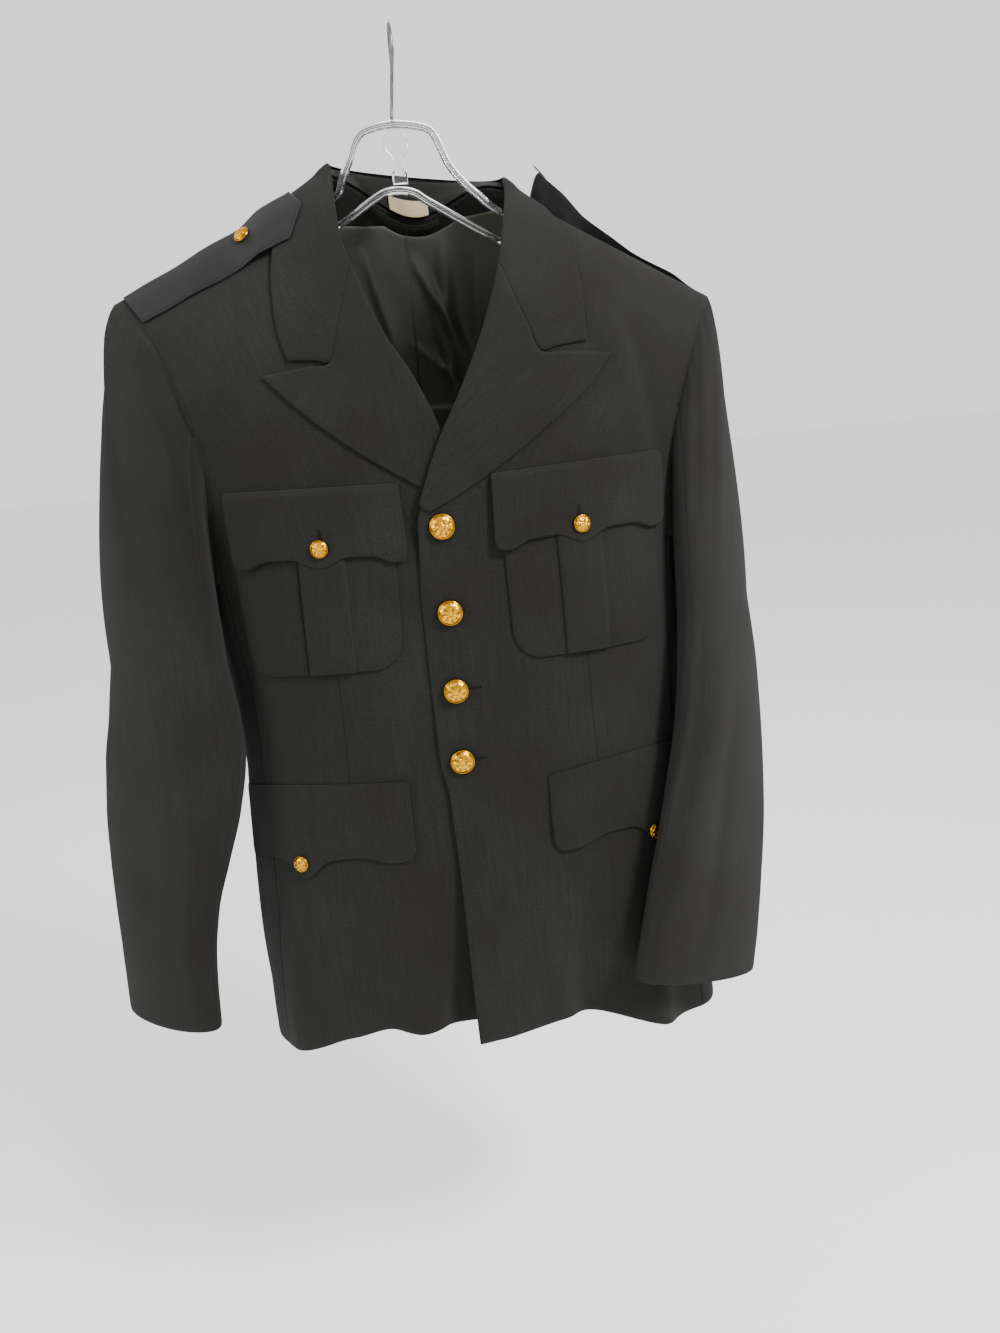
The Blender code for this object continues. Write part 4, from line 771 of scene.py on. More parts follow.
    def stitches(self, name: str, paths: list[Array], finish: str, pitch: float | None = None,
            length_share: float = 0.62, width: float | None = None) -> bpy.types.Object:
        """Row of stitches along each path, laid by a node tree.

        Args:
            name: name of the piece.
            paths: lines of points on the cloth.
            finish: name of the thread's finish.
            pitch: distance from one stitch to the next.
            length_share: share of the pitch that a stitch covers.
            width: half width of the thread.

        Returns:
            One plain mesh of all the stitches.
        """
        pitch = pitch or self.stitch_pitch
        width = width or self.stitch_width
        points, edges = [], []
        for path in paths:
            start = len(points)
            points.extend(np.asarray(path, dtype=float).tolist())
            edges.extend((start + k, start + k + 1) for k in range(len(path) - 1))
        mesh = bpy.data.meshes.new(name + "_Path")
        mesh.from_pydata(points, edges, [])
        item = bpy.data.objects.new(name, mesh)
        bpy.context.scene.collection.objects.link(item)
        tree = StitchTree(self.wardrobe.get(finish)).tree()
        return bake_tree(item, tree, {"Pitch": pitch, "Half Length": pitch * length_share / 2.0,
                "Half Width": width})


@dataclass
class StitchTree:
    """Node tree that lays one small thread bar at each pitch along a path."""

    material: bpy.types.Material
    segments: int = 6
    rings: int = 4

    def tree(self) -> bpy.types.NodeTree:
        """Build the tree.

        Returns:
            The tree, with inputs for the pitch and the size of a stitch.
        """
        tree = bpy.data.node_groups.new("Stitch_Row", "GeometryNodeTree")
        face = tree.interface
        face.new_socket("Geometry", in_out="INPUT", socket_type="NodeSocketGeometry")
        for name in ("Pitch", "Half Length", "Half Width"):
            face.new_socket(name, in_out="INPUT", socket_type="NodeSocketFloat")
        face.new_socket("Geometry", in_out="OUTPUT", socket_type="NodeSocketGeometry")
        nodes, links = tree.nodes, tree.links
        given = nodes.new("NodeGroupInput")
        result = nodes.new("NodeGroupOutput")
        curve = nodes.new("GeometryNodeMeshToCurve")
        spread = nodes.new("GeometryNodeCurveToPoints")
        spread.mode = "LENGTH"
        bar = nodes.new("GeometryNodeMeshUVSphere")
        bar.inputs["Segments"].default_value = self.segments
        bar.inputs["Rings"].default_value = self.rings
        bar.inputs["Radius"].default_value = 1.0
        size = nodes.new("ShaderNodeCombineXYZ")
        place = nodes.new("GeometryNodeInstanceOnPoints")
        real = nodes.new("GeometryNodeRealizeInstances")
        soft = nodes.new("GeometryNodeSetShadeSmooth")
        paint = nodes.new("GeometryNodeSetMaterial")
        paint.inputs["Material"].default_value = self.material
        links.new(given.outputs["Geometry"], curve.inputs["Mesh"])
        links.new(curve.outputs["Curve"], spread.inputs["Curve"])
        links.new(given.outputs["Pitch"], spread.inputs["Length"])
        links.new(given.outputs["Half Width"], size.inputs["X"])
        links.new(given.outputs["Half Width"], size.inputs["Y"])
        links.new(given.outputs["Half Length"], size.inputs["Z"])
        links.new(spread.outputs["Points"], place.inputs["Points"])
        links.new(spread.outputs["Rotation"], place.inputs["Rotation"])
        links.new(bar.outputs["Mesh"], place.inputs["Instance"])
        links.new(size.outputs["Vector"], place.inputs["Scale"])
        links.new(place.outputs["Instances"], soft.inputs["Geometry"])
        links.new(soft.outputs["Geometry"], real.inputs["Geometry"])
        links.new(real.outputs["Geometry"], paint.inputs["Geometry"])
        links.new(paint.outputs["Geometry"], result.inputs["Geometry"])
        return tree


def bake_tree(item: bpy.types.Object, tree: bpy.types.NodeTree, values: dict) -> bpy.types.Object:
    """Run a node tree on an object and keep the result as its plain mesh.

    Args:
        item: object whose mesh feeds the tree.
        tree: the node tree.
        values: input name to value.

    Returns:
        The same object, with the finished mesh and no modifier.
    """
    modifier = item.modifiers.new("Maker", "NODES")
    modifier.node_group = tree
    for socket in tree.interface.items_tree:
        if socket.item_type == "SOCKET" and socket.in_out == "INPUT" and socket.name in values:
            modifier[socket.identifier] = values[socket.name]
    bpy.context.view_layer.update()
    made = bpy.data.meshes.new_from_object(item.evaluated_get(bpy.context.evaluated_depsgraph_get()))
    item.modifiers.remove(modifier)
    item.data = made
    made.name = item.name
    return item


@dataclass
class BodyPanels:
    """Fronts, side panels and backs."""

    form: BodyForm
    tailor: Tailor
    lower_rows: int = 96
    chest_rows: int = 8
    upper_rows: int = 78
    front_columns: int = 84
    side_columns: int = 44
    back_columns: int = 64
    neck_columns: int = 22
    lap: float = 0.0012
    lap_depth: float = 0.0005

    def front_grid(self, side: int) -> tuple[Array, Array]:
        """Points and outward directions of a front, from the hem to the shoulder seam."""
        form = self.form
        rows, ways = [], []
        seam = math.sin(math.radians(form.seam_front - form.seam_angle)) ** (2.0 / form.oblong)
        shares = np.linspace(0.0, 1.0, self.front_columns + 1)
        x = shares
        for share in np.linspace(0.0, 1.0, self.lower_rows + 1):
            height = form.hem_curve[side].at(60.0 * shares) * (1.0 - share) + form.underarm_z * share
            for _ in range(4):
                inner = side * form.edge_curve[side].at(height[0])
                x = inner + (form.half_width(side, height[-1]) * seam - inner) * shares
                foot = form.hem_curve[side].at(form.angle_at(side, x, height))
                height = foot * (1.0 - share) + form.underarm_z * share
            rows.append(form.place_front(side, x, height))
            ways.append(form.front_normal(side, x, height))
        under = x[-1]
        chest = form.armhole_front[side].at(0.0)
        for share in np.linspace(0.0, 1.0, self.chest_rows + 1)[1:-1]:
            height = form.underarm_z + (form.break_z - form.underarm_z) * share + 0.0 * shares
            inner = side * form.edge_curve[side].at(height[0])
            x = inner + (under + (chest - under) * share - inner) * shares
            rows.append(form.place_front(side, x, height))
            ways.append(form.front_normal(side, x, height))
        for share in np.linspace(0.0, 1.0, self.upper_rows + 1):
            outer = form.armhole_front[side].at(share)
            height = form.break_z
            for _ in range(12):
                inner = side * form.roll_curve[side].at(height)
                height = form.break_z + share * (form.ridge(side, abs(inner)) - form.break_z)
            if share == 1.0:
                inner = form.neck_x[side]
            x = inner + (outer - inner) * shares
            height = form.break_z + share * (form.ridge(side, np.abs(x)) - form.break_z)
            rows.append(form.place_front(side, x, height))
            ways.append(form.front_normal(side, x, height))
        points, normals = np.array(rows), np.array(ways)
        points[-1, :, 1] -= form.seam_gap / 2.0
        normals[-1] = (0.0, 0.0, 1.0)
        return points, normals

    def side_grid(self, side: int) -> tuple[Array, Array]:
        """Points and outward directions of a side panel."""
        form = self.form
        angle = np.linspace(form.seam_front + form.seam_angle, form.seam_back - form.seam_angle,
                self.side_columns + 1)
        rows, ways = [], []
        for share in np.linspace(0.0, 1.0, self.lower_rows + 1):
            height = form.hem_curve[side].at(angle) * (1.0 - share) + form.underarm_height(angle) * share
            rows.append(form.on_body(side, angle, height))
            ways.append(form.outward(side, angle, height))
        return np.array(rows), np.array(ways)

    def back_grid(self, side: int) -> tuple[Array, Array]:
        """Points and outward directions of a back, from the hem to the neck and shoulder."""
        form = self.form
        rows, ways = [], []
        shares = np.linspace(0.0, 1.0, self.back_columns + 1)
        seam = math.sin(math.radians(form.seam_back + form.seam_angle)) ** (2.0 / form.oblong)
        inner = form.seam_gap / 2.0
        neck = form.neck_x[side]
        x = shares
        for share in np.linspace(0.0, 1.0, self.lower_rows + 1):
            height = form.hem_curve[side].at(180.0 - 60.0 * shares) * (1.0 - share) + form.underarm_z * share
            for _ in range(4):
                outer = form.half_width(side, height[-1]) * seam
                x = self.bent(inner, neck, outer)
                foot = form.hem_curve[side].at(180.0 - form.angle_at(side, x, height))
                height = foot * (1.0 - share) + form.underarm_z * share
            rows.append(form.on_back(side, x, height))
            ways.append(form.outward(side, 180.0 - form.angle_at(side, x, height), height))
        under = x[-1]
        chest = form.armhole_back[side].at(0.0)
        steps = np.linspace(0.0, 1.0, self.chest_rows + 1)[1:-1]
        for share in list(steps - 1.0) + list(np.linspace(0.0, 1.0, self.upper_rows + 1)):
            if share < 0.0:
                outer = chest + (under - chest) * -share
                height = form.break_z + (form.underarm_z - form.break_z) * -share
                x = self.bent(inner, neck, outer)
                height = height + 0.0 * x
            else:
                x = self.bent(inner, neck, form.armhole_back[side].at(share))
                top = np.where(x < neck, form.neckline(side, x), form.ridge(side, x))
                height = form.break_z + share * (top - form.break_z)
            rows.append(form.on_back(side, x, height))
            ways.append(form.outward(side, 180.0 - form.angle_at(side, x, height), height))
        points, normals = np.array(rows), np.array(ways)
        shoulder = np.abs(points[-1, :, 0]) >= neck - 0.001
        points[-1, shoulder, 1] += form.seam_gap
        normals[-1, shoulder] = (0.0, 0.0, 1.0)
        return points, normals

    def bent(self, inner: float, neck: float, outer: float) -> Array:
        """Columns of a back, with one on the neck point."""
        near = np.linspace(inner, neck, self.neck_columns + 1)
        rest = np.linspace(neck, outer, self.back_columns - self.neck_columns + 1)
        return np.concatenate([near, rest[1:]])

    def build(self) -> None:
        """Make the six panels."""
        for side in (Side.RIGHT, Side.LEFT):
            word = side.word
            for name, maker, node in (("Front", self.front_grid, "front_"),
                    ("Side_Panel", self.side_grid, "side_panel_"),
                    ("Back", self.back_grid, "back_")):
                grid, normals = maker(side.sign)
                edges = "el" if name == "Front" else "sel"
                if name == "Side_Panel":
                    way = unit(grid[:, -1] - grid[:, -2])
                    seam = grid[:, -1] - way * self.lap - normals[:, -1] * self.lap_depth
                    grid[:, -1] += way * self.lap_depth
                elif name == "Back":
                    grid[:len(seam), -1] = seam
                    grid[:, 0] += unit(grid[:, 0] - grid[:, 1]) * self.lap_depth
                piece = self.tailor.wall(name + "_" + word, grid, normals, "Wool_Cloth", sewn=edges)
                self.tailor.dress(piece, "wool", [node + word])
                self.tailor.sheet(piece, grid, ["hanger_frame"])


@dataclass
class Sleeves:
    """Two-piece sleeves that hang from the armholes."""

    form: BodyForm
    tailor: Tailor
    splits: int = 6
    head_rings: int = 4
    cap_rings: int = 46
    arm_rings: int = 84
    head_lift: float = 0.004
    seam_step: float = -0.0012
    seam_draw: float = -0.0004
    crease_gain: float = 1.35
    bend_share: float = 0.14
    pucker: float = 0.0007
    rows: tuple = (0.0, 0.18, 0.36, 0.54, 0.7, 0.84, 0.93, 1.0)
    places: tuple = (90.0, 78.0, 65.0, 49.0, 30.0, 9.0, -13.0, -34.0, -50.0, -66.0, -82.0, -98.0, -114.0,
            -130.0, -146.0, -168.0, -189.0, -210.0, -229.0, -245.0, -258.0, -270.0)
    seam_front: int = 5
    seam_back: int = 16
    # columns: height, distance out of the middle, y of the middle, half width, half thickness, turn
    arms: dict = field(default_factory=lambda: {
        -1: np.array([
            [-0.53, 0.268, -0.034, 0.0795, 0.032, 46.0], [-0.575, 0.2695, -0.036, 0.083, 0.0325, 51.0],
            [-0.62, 0.2745, -0.04, 0.0845, 0.032, 55.0], [-0.665, 0.2825, -0.045, 0.082, 0.03, 55.0],
            [-0.71, 0.292, -0.05, 0.0765, 0.027, 53.0], [-0.755, 0.301, -0.055, 0.071, 0.024, 50.0],
            [-0.8, 0.306, -0.06, 0.069, 0.022, 48.0], [-0.835, 0.308, -0.063, 0.068, 0.0205, 48.0],
            [-0.864, 0.309, -0.066, 0.068, 0.0195, 48.0]]),
        1: np.array([
            [-0.53, 0.253, -0.03, 0.07, 0.0245, 38.0], [-0.58, 0.251, -0.04, 0.071, 0.0245, 42.0],
            [-0.63, 0.2455, -0.051, 0.072, 0.0245, 46.0], [-0.68, 0.237, -0.063, 0.0735, 0.024, 51.0],
            [-0.73, 0.227, -0.076, 0.074, 0.023, 56.0], [-0.775, 0.216, -0.089, 0.074, 0.0215, 60.0],
            [-0.815, 0.206, -0.1, 0.073, 0.02, 63.0], [-0.846, 0.198, -0.108, 0.072, 0.019, 65.0],
            [-0.871, 0.192, -0.114, 0.072, 0.018, 65.0]])})
    cuff_tilt: dict = field(default_factory=lambda: {-1: 0.1, 1: 0.3})
    # columns: side, place at the top, place at the foot, height top, height foot, half spread, depth
    creases: tuple = (
        (-1, 70.0, 18.0, -0.225, -0.39, 13.0, 0.0065), (-1, 42.0, 2.0, -0.225, -0.33, 11.0, -0.006),
        (-1, 60.0, 40.0, -0.6, -0.86, 16.0, 0.004), (-1, 20.0, 14.0, -0.64, -0.85, 13.0, -0.0035),
        (1, 62.0, 40.0, -0.56, -0.86, 16.0, 0.0035),
        (-1, 96.0, 66.0, -0.235, -0.47, 10.0, -0.0022), (-1, 30.0, 62.0, -0.47, -0.7, 12.0, -0.0016),
        (-1, 84.0, 70.0, -0.56, -0.78, 9.0, 0.0014), (-1, -20.0, 10.0, -0.48, -0.64, 12.0, 0.0018),
        (1, 84.0, 58.0, -0.25, -0.52, 10.0, 0.0016), (1, 50.0, 26.0, -0.26, -0.46, 9.0, -0.0018),
        (1, 30.0, 20.0, -0.48, -0.76, 10.0, -0.0016), (1, 74.0, 78.0, -0.62, -0.86, 9.0, -0.0014),
        (1, 12.0, 4.0, -0.56, -0.8, 8.0, 0.0012),
        (-1, 170.0, 190.0, -0.3, -0.56, 12.0, -0.003), (1, 168.0, 190.0, -0.3, -0.56, 12.0, -0.003),
        (-1, 150.0, 160.0, -0.52, -0.8, 14.0, 0.0022), (1, 152.0, 160.0, -0.52, -0.8, 14.0, 0.0022))

    def loop(self, side: int) -> tuple[Array, Array]:
        """Points of the armhole and the directions in which the sleeve leaves it."""
        form = self.form
        step = 0.002
        count = len(self.places) - 1
        points, ways = [], []

        def high(share: float, behind: bool) -> tuple[Array, Array]:
            """Point and direction on the front or back armhole edge."""
            curve = form.armhole_back[side] if behind else form.armhole_front[side]
            place = form.on_back if behind else form.on_front
            x = curve.at(share)
            height = form.break_z + share * (form.ridge(side, x) - form.break_z)
            inner = form.break_z + share * (form.ridge(side, x - step) - form.break_z)
            point = place(side, x, height)
            return point, unit(point - place(side, x - step, inner))

        def low(angle: float) -> tuple[Array, Array]:
            """Point and direction under the arm."""
            return form.on_body(side, angle, form.underarm_height(angle)), unit(np.array([side * 1.0, 0.0,
                    0.45]))

        def between(a: tuple, b: tuple, t: float) -> tuple[Array, Array]:
            """Place part of the way from one point to the next."""
            return a[0] * (1.0 - t) + b[0] * t, unit(a[1] * (1.0 - t) + b[1] * t)

        for k in np.arange(count * self.splits) / self.splits:
            if k <= 7.0:
                spot = high(float(np.interp(7.0 - k, range(8), self.rows)), False)
            elif k < 8.0:
                spot = between(high(0.0, False), low(form.seam_front), k - 7.0)
            elif k <= 13.0:
                spot = low(form.seam_front + (form.seam_back - form.seam_front) * (k - 8.0) / 5.0)
            elif k < 14.0:
                spot = between(low(form.seam_back), high(0.0, True), k - 13.0)
            else:
                spot = high(float(np.interp(k - 14.0, range(8), self.rows)), True)
            points.append(spot[0])
            ways.append(spot[1])
        return np.array(points), np.array(ways)

    def ring(self, side: int, height: float, places: Array) -> Array:
        """Points of the sleeve's round at a height."""
        rows = self.arms[side]
        middle_x, middle_y, wide, thick, turn = (
            float(Curve.column(rows, c).at(height)) for c in range(1, 6))
        turn = math.radians(turn)
        along = np.cos(np.radians(places)) * wide
        across = np.sin(np.radians(places)) * thick
        x = middle_x - math.sin(turn) * along + math.cos(turn) * across
        y = middle_y - math.cos(turn) * along - math.sin(turn) * across
        return np.stack([side * x, y, height + 0.0 * x], axis=-1)

    def rings(self, side: int) -> Array:
        """Outer points of a whole sleeve, rings from the armhole to the cuff."""
        count = len(self.places) - 1
        spots = np.arange(count * self.splits) / self.splits
        places = np.interp(spots, np.arange(count + 1), self.places)
        points, ways = self.loop(side)
        top, foot = self.arms[side][0, 0], self.arms[side][-1, 0]
        first = self.ring(side, top, places)
        start = points + ways * self.head_lift
        bend = first.copy()
        bend[:, 2] = start[:, 2] * (1.0 - self.bend_share) + first[:, 2] * self.bend_share
        rings = []
        for share in np.linspace(0.0, 1.0, self.head_rings + 1)[:-1]:
            lift = self.seam_step + (self.head_lift - self.seam_step) * share
            rings.append(points + ways * lift)
        for share in np.linspace(0.0, 1.0, self.cap_rings + 1)[:-1] ** 1.15:
            rings.append(start * (1.0 - share) ** 2 + bend * 2.0 * share * (1.0 - share) + first * share ** 2)
        for height in np.linspace(top, foot, self.arm_rings + 1):
            ring = self.ring(side, height, places)
            low = smooth((top - height) / (top - foot))
            ring[:, 2] += self.cuff_tilt[side] * low * (self.arms[side][-1, 1] - np.abs(ring[:, 0]))
            rings.append(ring)
        return self.press(side, np.array(rings), places)

    def press(self, side: int, rings: Array, places: Array) -> Array:
        """Press the creases and the small puckers of the sleeve head into the rings."""
        radial = rings - rings.mean(axis=1, keepdims=True)
        radial[..., 2] = 0.0
        radial = unit(radial)
        total = np.zeros(rings.shape[:2])
        for own, top_place, foot_place, top, foot, spread, reach in self.creases:
            if own != side:
                continue
            share = np.clip((top - rings[..., 2]) / (top - foot), 0.0, 1.0)
            middle = top_place + (foot_place - top_place) * share
            gap = np.abs((places[None, :] - middle + 180.0) % 360.0 - 180.0)
            total += (self.crease_gain * reach * np.sin(math.pi * share) ** 0.7
                    * np.exp(-((gap / spread) ** 2)))
        row = np.arange(len(rings))[:, None]
        near = np.exp(-(((row - self.head_rings - 5.0) / 5.0) ** 2))
        crown = smooth((np.abs((places + 90.0) % 360.0 - 180.0) * -1.0 + 95.0) / 40.0)[None, :]
        total += self.pucker * near * crown * np.sin(np.radians(places[None, :]) * 26.0)
        hold = smooth((row - 1.0) / 5.0)
        return rings + radial * (total * hold)[..., None]

    def build(self) -> None:
        """Make both sleeves, each of a top and an under piece."""
        for side in (Side.RIGHT, Side.LEFT):
            rings = self.rings(side.sign)
            along = np.gradient(rings, axis=0)
            across = np.roll(rings, -1, axis=1) - np.roll(rings, 1, axis=1)
            normals = unit(np.cross(across, along))
            if normals[len(rings) // 2, 0, 0] * side.sign < 0.0:
                normals = -normals
            count = rings.shape[1]
            front, back = self.seam_front * self.splits, self.seam_back * self.splits
            for name, node, first, last in (("Sleeve_Top", "sleeve_top_", back, front + count),
                    ("Sleeve_Under", "sleeve_under_", front, back)):
                order = [c % count for c in range(first, last + 1)]
                half = rings[:, order].copy()
                for edge, near in ((0, 1), (-1, -2)):
                    half[:, edge] += unit(half[:, near] - half[:, edge]) * self.seam_draw
                piece = self.tailor.wall(name + "_" + side.word, half, normals[:, order], "Wool_Cloth",
                        sewn="fse")
                self.tailor.dress(piece, "wool", [node + side.word])
                self.tailor.sheet(piece, half, ["front_" + side.word, "back_" + side.word])


@dataclass
class Turnback:
    """Lapels and collar: cloth that rolls over and lies on the fronts and round the neck."""

    form: BodyForm
    tailor: Tailor
    roll_height: float = 0.0042
    roll_over: float = 0.003
    roll_flat: float = 0.62
    roll_puff: float = 0.022
    back_roll_over: float = 0.0026
    turn_run: float = 0.007
    gorge_close: float = 0.0014
    thickness: float = 0.0011
    ease: dict = field(default_factory=lambda: {-1: 0.001, 1: 0.0003})
    lapel_rows: int = 72
    columns: int = 48
    collar_rows_each: int = 6
    lapels: dict = field(default_factory=lambda: {
        1: {"gorge": (0.068, -0.214), "notch": (0.094, -0.287), "outer": (
            (-0.024, -0.414), (0.006, -0.401), (0.04, -0.383), (0.092, -0.35), (0.138, -0.314),
            (0.156, -0.293))},
        -1: {"gorge": (-0.056, -0.203), "notch": (-0.081, -0.282), "outer": (
            (0.018, -0.412), (-0.016, -0.391), (-0.072, -0.352), (-0.097, -0.331), (-0.118, -0.311),
            (-0.139, -0.288))}})
    # columns: fold x, fold height, middle x, middle height, outer x, outer height
    collar_front: dict = field(default_factory=lambda: {
        1: np.array([[0.0688, -0.2115, 0.095, -0.2835, 0.1365, -0.279],
            [0.0715, -0.203, 0.102, -0.259, 0.1385, -0.258],
            [0.075, -0.192, 0.105, -0.229, 0.1395, -0.233],
            [0.0795, -0.177, 0.1085, -0.201, 0.1385, -0.208],
            [0.0845, -0.158, 0.11, -0.176, 0.134, -0.185],
            [0.088, -0.143, 0.108, -0.156, 0.127, -0.168]]),
        -1: np.array([[-0.057, -0.2005, -0.0815, -0.278, -0.117, -0.275],
            [-0.0595, -0.192, -0.088, -0.252, -0.1225, -0.252],
            [-0.0625, -0.181, -0.092, -0.222, -0.124, -0.227],
            [-0.0645, -0.165, -0.095, -0.193, -0.123, -0.202],
            [-0.0655, -0.142, -0.094, -0.162, -0.118, -0.172],
            [-0.066, -0.121, -0.088, -0.134, -0.111, -0.145]])})
    ridge_x: dict = field(default_factory=lambda: {-1: 0.103, 1: 0.121})
    lift_start: float = -0.19
    lift_run: float = 0.05
    lift: float = 0.0018
    ridge_lift: float = 0.0024
    ridge_arch: float = 0.003
    back_step: float = 15.0
    stand_lift: float = 0.0011
    stand_top: float = 0.91
    fold_depth_y: float = 0.058
    fold_side_y: float = 0.006
    fold_rise: float = 0.011
    fall_back_z: float = -0.158
    fall_spread_x: float = 0.106

    def turned(self, fold: Array, along: Array, normal: Array, over: float, height: float,
            run: float) -> list[Array]:
        """Points of the soft turn round a fold line."""
        steps = [(-over, height * 0.45), (-over * 0.35, height), (run, height)]
        return [fold + along * a + normal * n for a, n in steps]

    def row(self, side: int, first: Array, spread: Array, share: float, lift: float = 0.0) -> Array:
        """One row across a lapel or collar that lies on the front.

        Args:
            side: sign of the side.
            first: x and height of the fold.
            spread: x and height of the row's further points.
            share: how far up the lapel the row is.
            lift: extra distance from the front.

        Returns:
            Points from the turned edge outward.
        """
        form = self.form
        fold = form.place_front(side, side * first[0], first[1])
        toward = form.place_front(side, side * spread[0][0], spread[0][1])
        along = unit(toward - fold)
        run = min(self.turn_run, float(np.linalg.norm(toward - fold)) * 0.6)
        normal = form.front_normal(side, side * first[0], first[1])
        roll = self.roll_height * (self.roll_flat + (1.0 - self.roll_flat) * smooth((share - 0.1) / 0.4))
        points = self.turned(fold, along, normal, self.roll_over, float(roll), run)
        rest = form.lay_gap + form.cloth + self.ease[side] + lift
        for x, height in spread:
            away = max(math.hypot(x - first[0], height - first[1]), 0.01)
            puff = max((float(roll) - rest) * math.exp(-((away / self.roll_puff) ** 2)), 0.0)
            points.append(form.place_front(side, side * x, height, rest + puff))
        return np.array(points)

    def lapel_grid(self, side: int) -> Array:
        """Outer points of a lapel, from the break up to the gorge."""
        data = self.lapels[side]
        outer = np.array(data["outer"])
        length = np.concatenate([[0.0], np.cumsum(np.linalg.norm(np.diff(outer, axis=0), axis=1))])
        length /= length[-1]
        edge_x, edge_z = Curve(tuple(length), tuple(outer[:, 0])), Curve(tuple(length), tuple(outer[:, 1]))
        rows = []
        for share in 0.05 + 0.95 * np.linspace(0.0, 1.0, self.lapel_rows + 1):
            height = self.form.break_z + (data["gorge"][1] - self.form.break_z) * share
            first = np.array([float(self.form.roll_curve[side].at(height)), height])
            middle = outer[0] + (np.array(data["notch"]) - outer[0]) * share
            edge = np.array([float(edge_x.at(share)), float(edge_z.at(share))])
            spread = np.concatenate([np.linspace(first, middle, 4)[1:], np.linspace(middle, edge, 4)[1:]])
            rows.append(self.row(side, first, spread, share))
        grid = spline(np.array(rows), self.columns + 1, axis=1)
        grid[-1] += unit(grid[-1] - grid[-2]) * self.gorge_close
        return grid

    def fold_point(self, angle: float) -> Array:
        """Top fold of the collar round the back of the neck."""
        form = self.form
        turn = math.radians(angle)
        base = form.neck_z[-1] + (form.neck_z[1] - form.neck_z[-1]) * (1.0 - math.cos(turn)) / 2.0
        return np.array([form.neck_middle_x - form.neck_half_width * math.cos(turn),
                self.fold_side_y + self.fold_depth_y * math.sin(turn),
                base + 0.008 + self.fold_rise * math.sin(turn)])

    def neck_point(self, angle: float) -> Array:
        """Neck seam under the stand."""
        form = self.form
        x = form.neck_middle_x - form.neck_half_width * math.cos(math.radians(angle))
        side = 1 if x >= 0.0 else -1
        height = min(float(form.neckline(side, abs(x))), float(form.ridge(side, abs(x))) - 0.0002)
        return form.on_back(side, abs(x), height)

    def fall_point(self, angle: float) -> Array:
        """Outer edge of the collar on the back."""
        form = self.form
        turn = math.radians(angle)
        x = form.neck_middle_x - self.fall_spread_x * math.cos(turn)
        side = 1 if x >= 0.0 else -1
        rise = float(form.ridge(side, abs(x)))
        share = math.sin(turn) ** 0.6
        height = (rise - 0.004) * (1.0 - share) + self.fall_back_z * share
        return form.on_back(side, abs(x), min(height, rise - 0.004), form.lay_gap + form.cloth + 0.001)

    def ridge_row(self, side: int) -> Array:
        """Row of the collar that crosses the shoulder seam."""
        form = self.form
        neck = form.neck_x[side]
        fold = np.array([side * neck, -0.001, form.neck_z[side] + 0.0045])
        along = unit(np.array([side * 1.0, 0.0, -form.fall[side]]))
        normal = np.array([side * abs(along[2]), 0.0, abs(along[0])])
        points = self.turned(fold, along, normal, self.roll_over, self.roll_height, self.turn_run)
        near, edge = neck + 0.01, self.ridge_x[side]
        for x in near + (edge - near) * np.linspace(1.0 / 6.0, 1.0, 6):
            arch = self.ridge_arch * (edge - x) / (edge - near)
            rise = form.lay_gap + form.cloth + self.ridge_lift + arch
            points.append(np.array([side * x, 0.0, float(form.ridge(side, x)) + rise]))
        return np.array(points)

    def collar_grid(self) -> Array:
        """Outer points of the collar from one front end to the other."""
        form = self.form
        sides = []
        for side in (-1, 1):
            part = []
            for fx, fz, mx, mz, ex, ez in self.collar_front[side]:
                first = np.array([fx, fz])
                spread = np.concatenate([np.linspace(first, (mx, mz), 4)[1:],
                        np.linspace((mx, mz), (ex, ez), 4)[1:]])
                near = float(smooth((fz - self.lift_start) / self.lift_run))
                part.append(self.row(side, first, spread, 1.0, self.lift * near))
            sides.append(part)
        middle = []
        for angle in np.arange(0.0, 180.1, self.back_step):
            fold, edge = self.fold_point(angle), self.fall_point(angle)
            down = unit(edge - fold)
            outer = np.array([fold[0] - form.neck_middle_x, max(fold[1] - self.fold_side_y, 0.0), 0.0])
            outer = unit(outer - down * np.dot(outer, down))
            points = self.turned(fold, down, outer, self.back_roll_over, self.roll_height, self.turn_run)
            last = points[-1]
            points += [last + (edge - last) * share for share in np.linspace(0.0, 1.0, 7)[1:]]
            middle.append(np.array(points))
        rows = sides[0] + [self.ridge_row(-1)] + middle + [self.ridge_row(1)] + sides[1][::-1]
        fine = spline(np.array(rows), (len(rows) - 1) * self.collar_rows_each + 1, axis=0)
        grid = spline(fine, self.columns + 1, axis=1)
        for end, near in ((0, 1), (-1, -2)):
            grid[end] += unit(grid[end] - grid[near]) * self.gorge_close
        return grid

    def stand_point(self, angle: float, share: float) -> Array:
        """Point on the stand, a share of the way from the neck seam to the fold."""
        seam = self.neck_point(angle) + np.array([0.0, 0.0, self.stand_lift])
        return seam + (self.fold_point(angle) - seam) * share

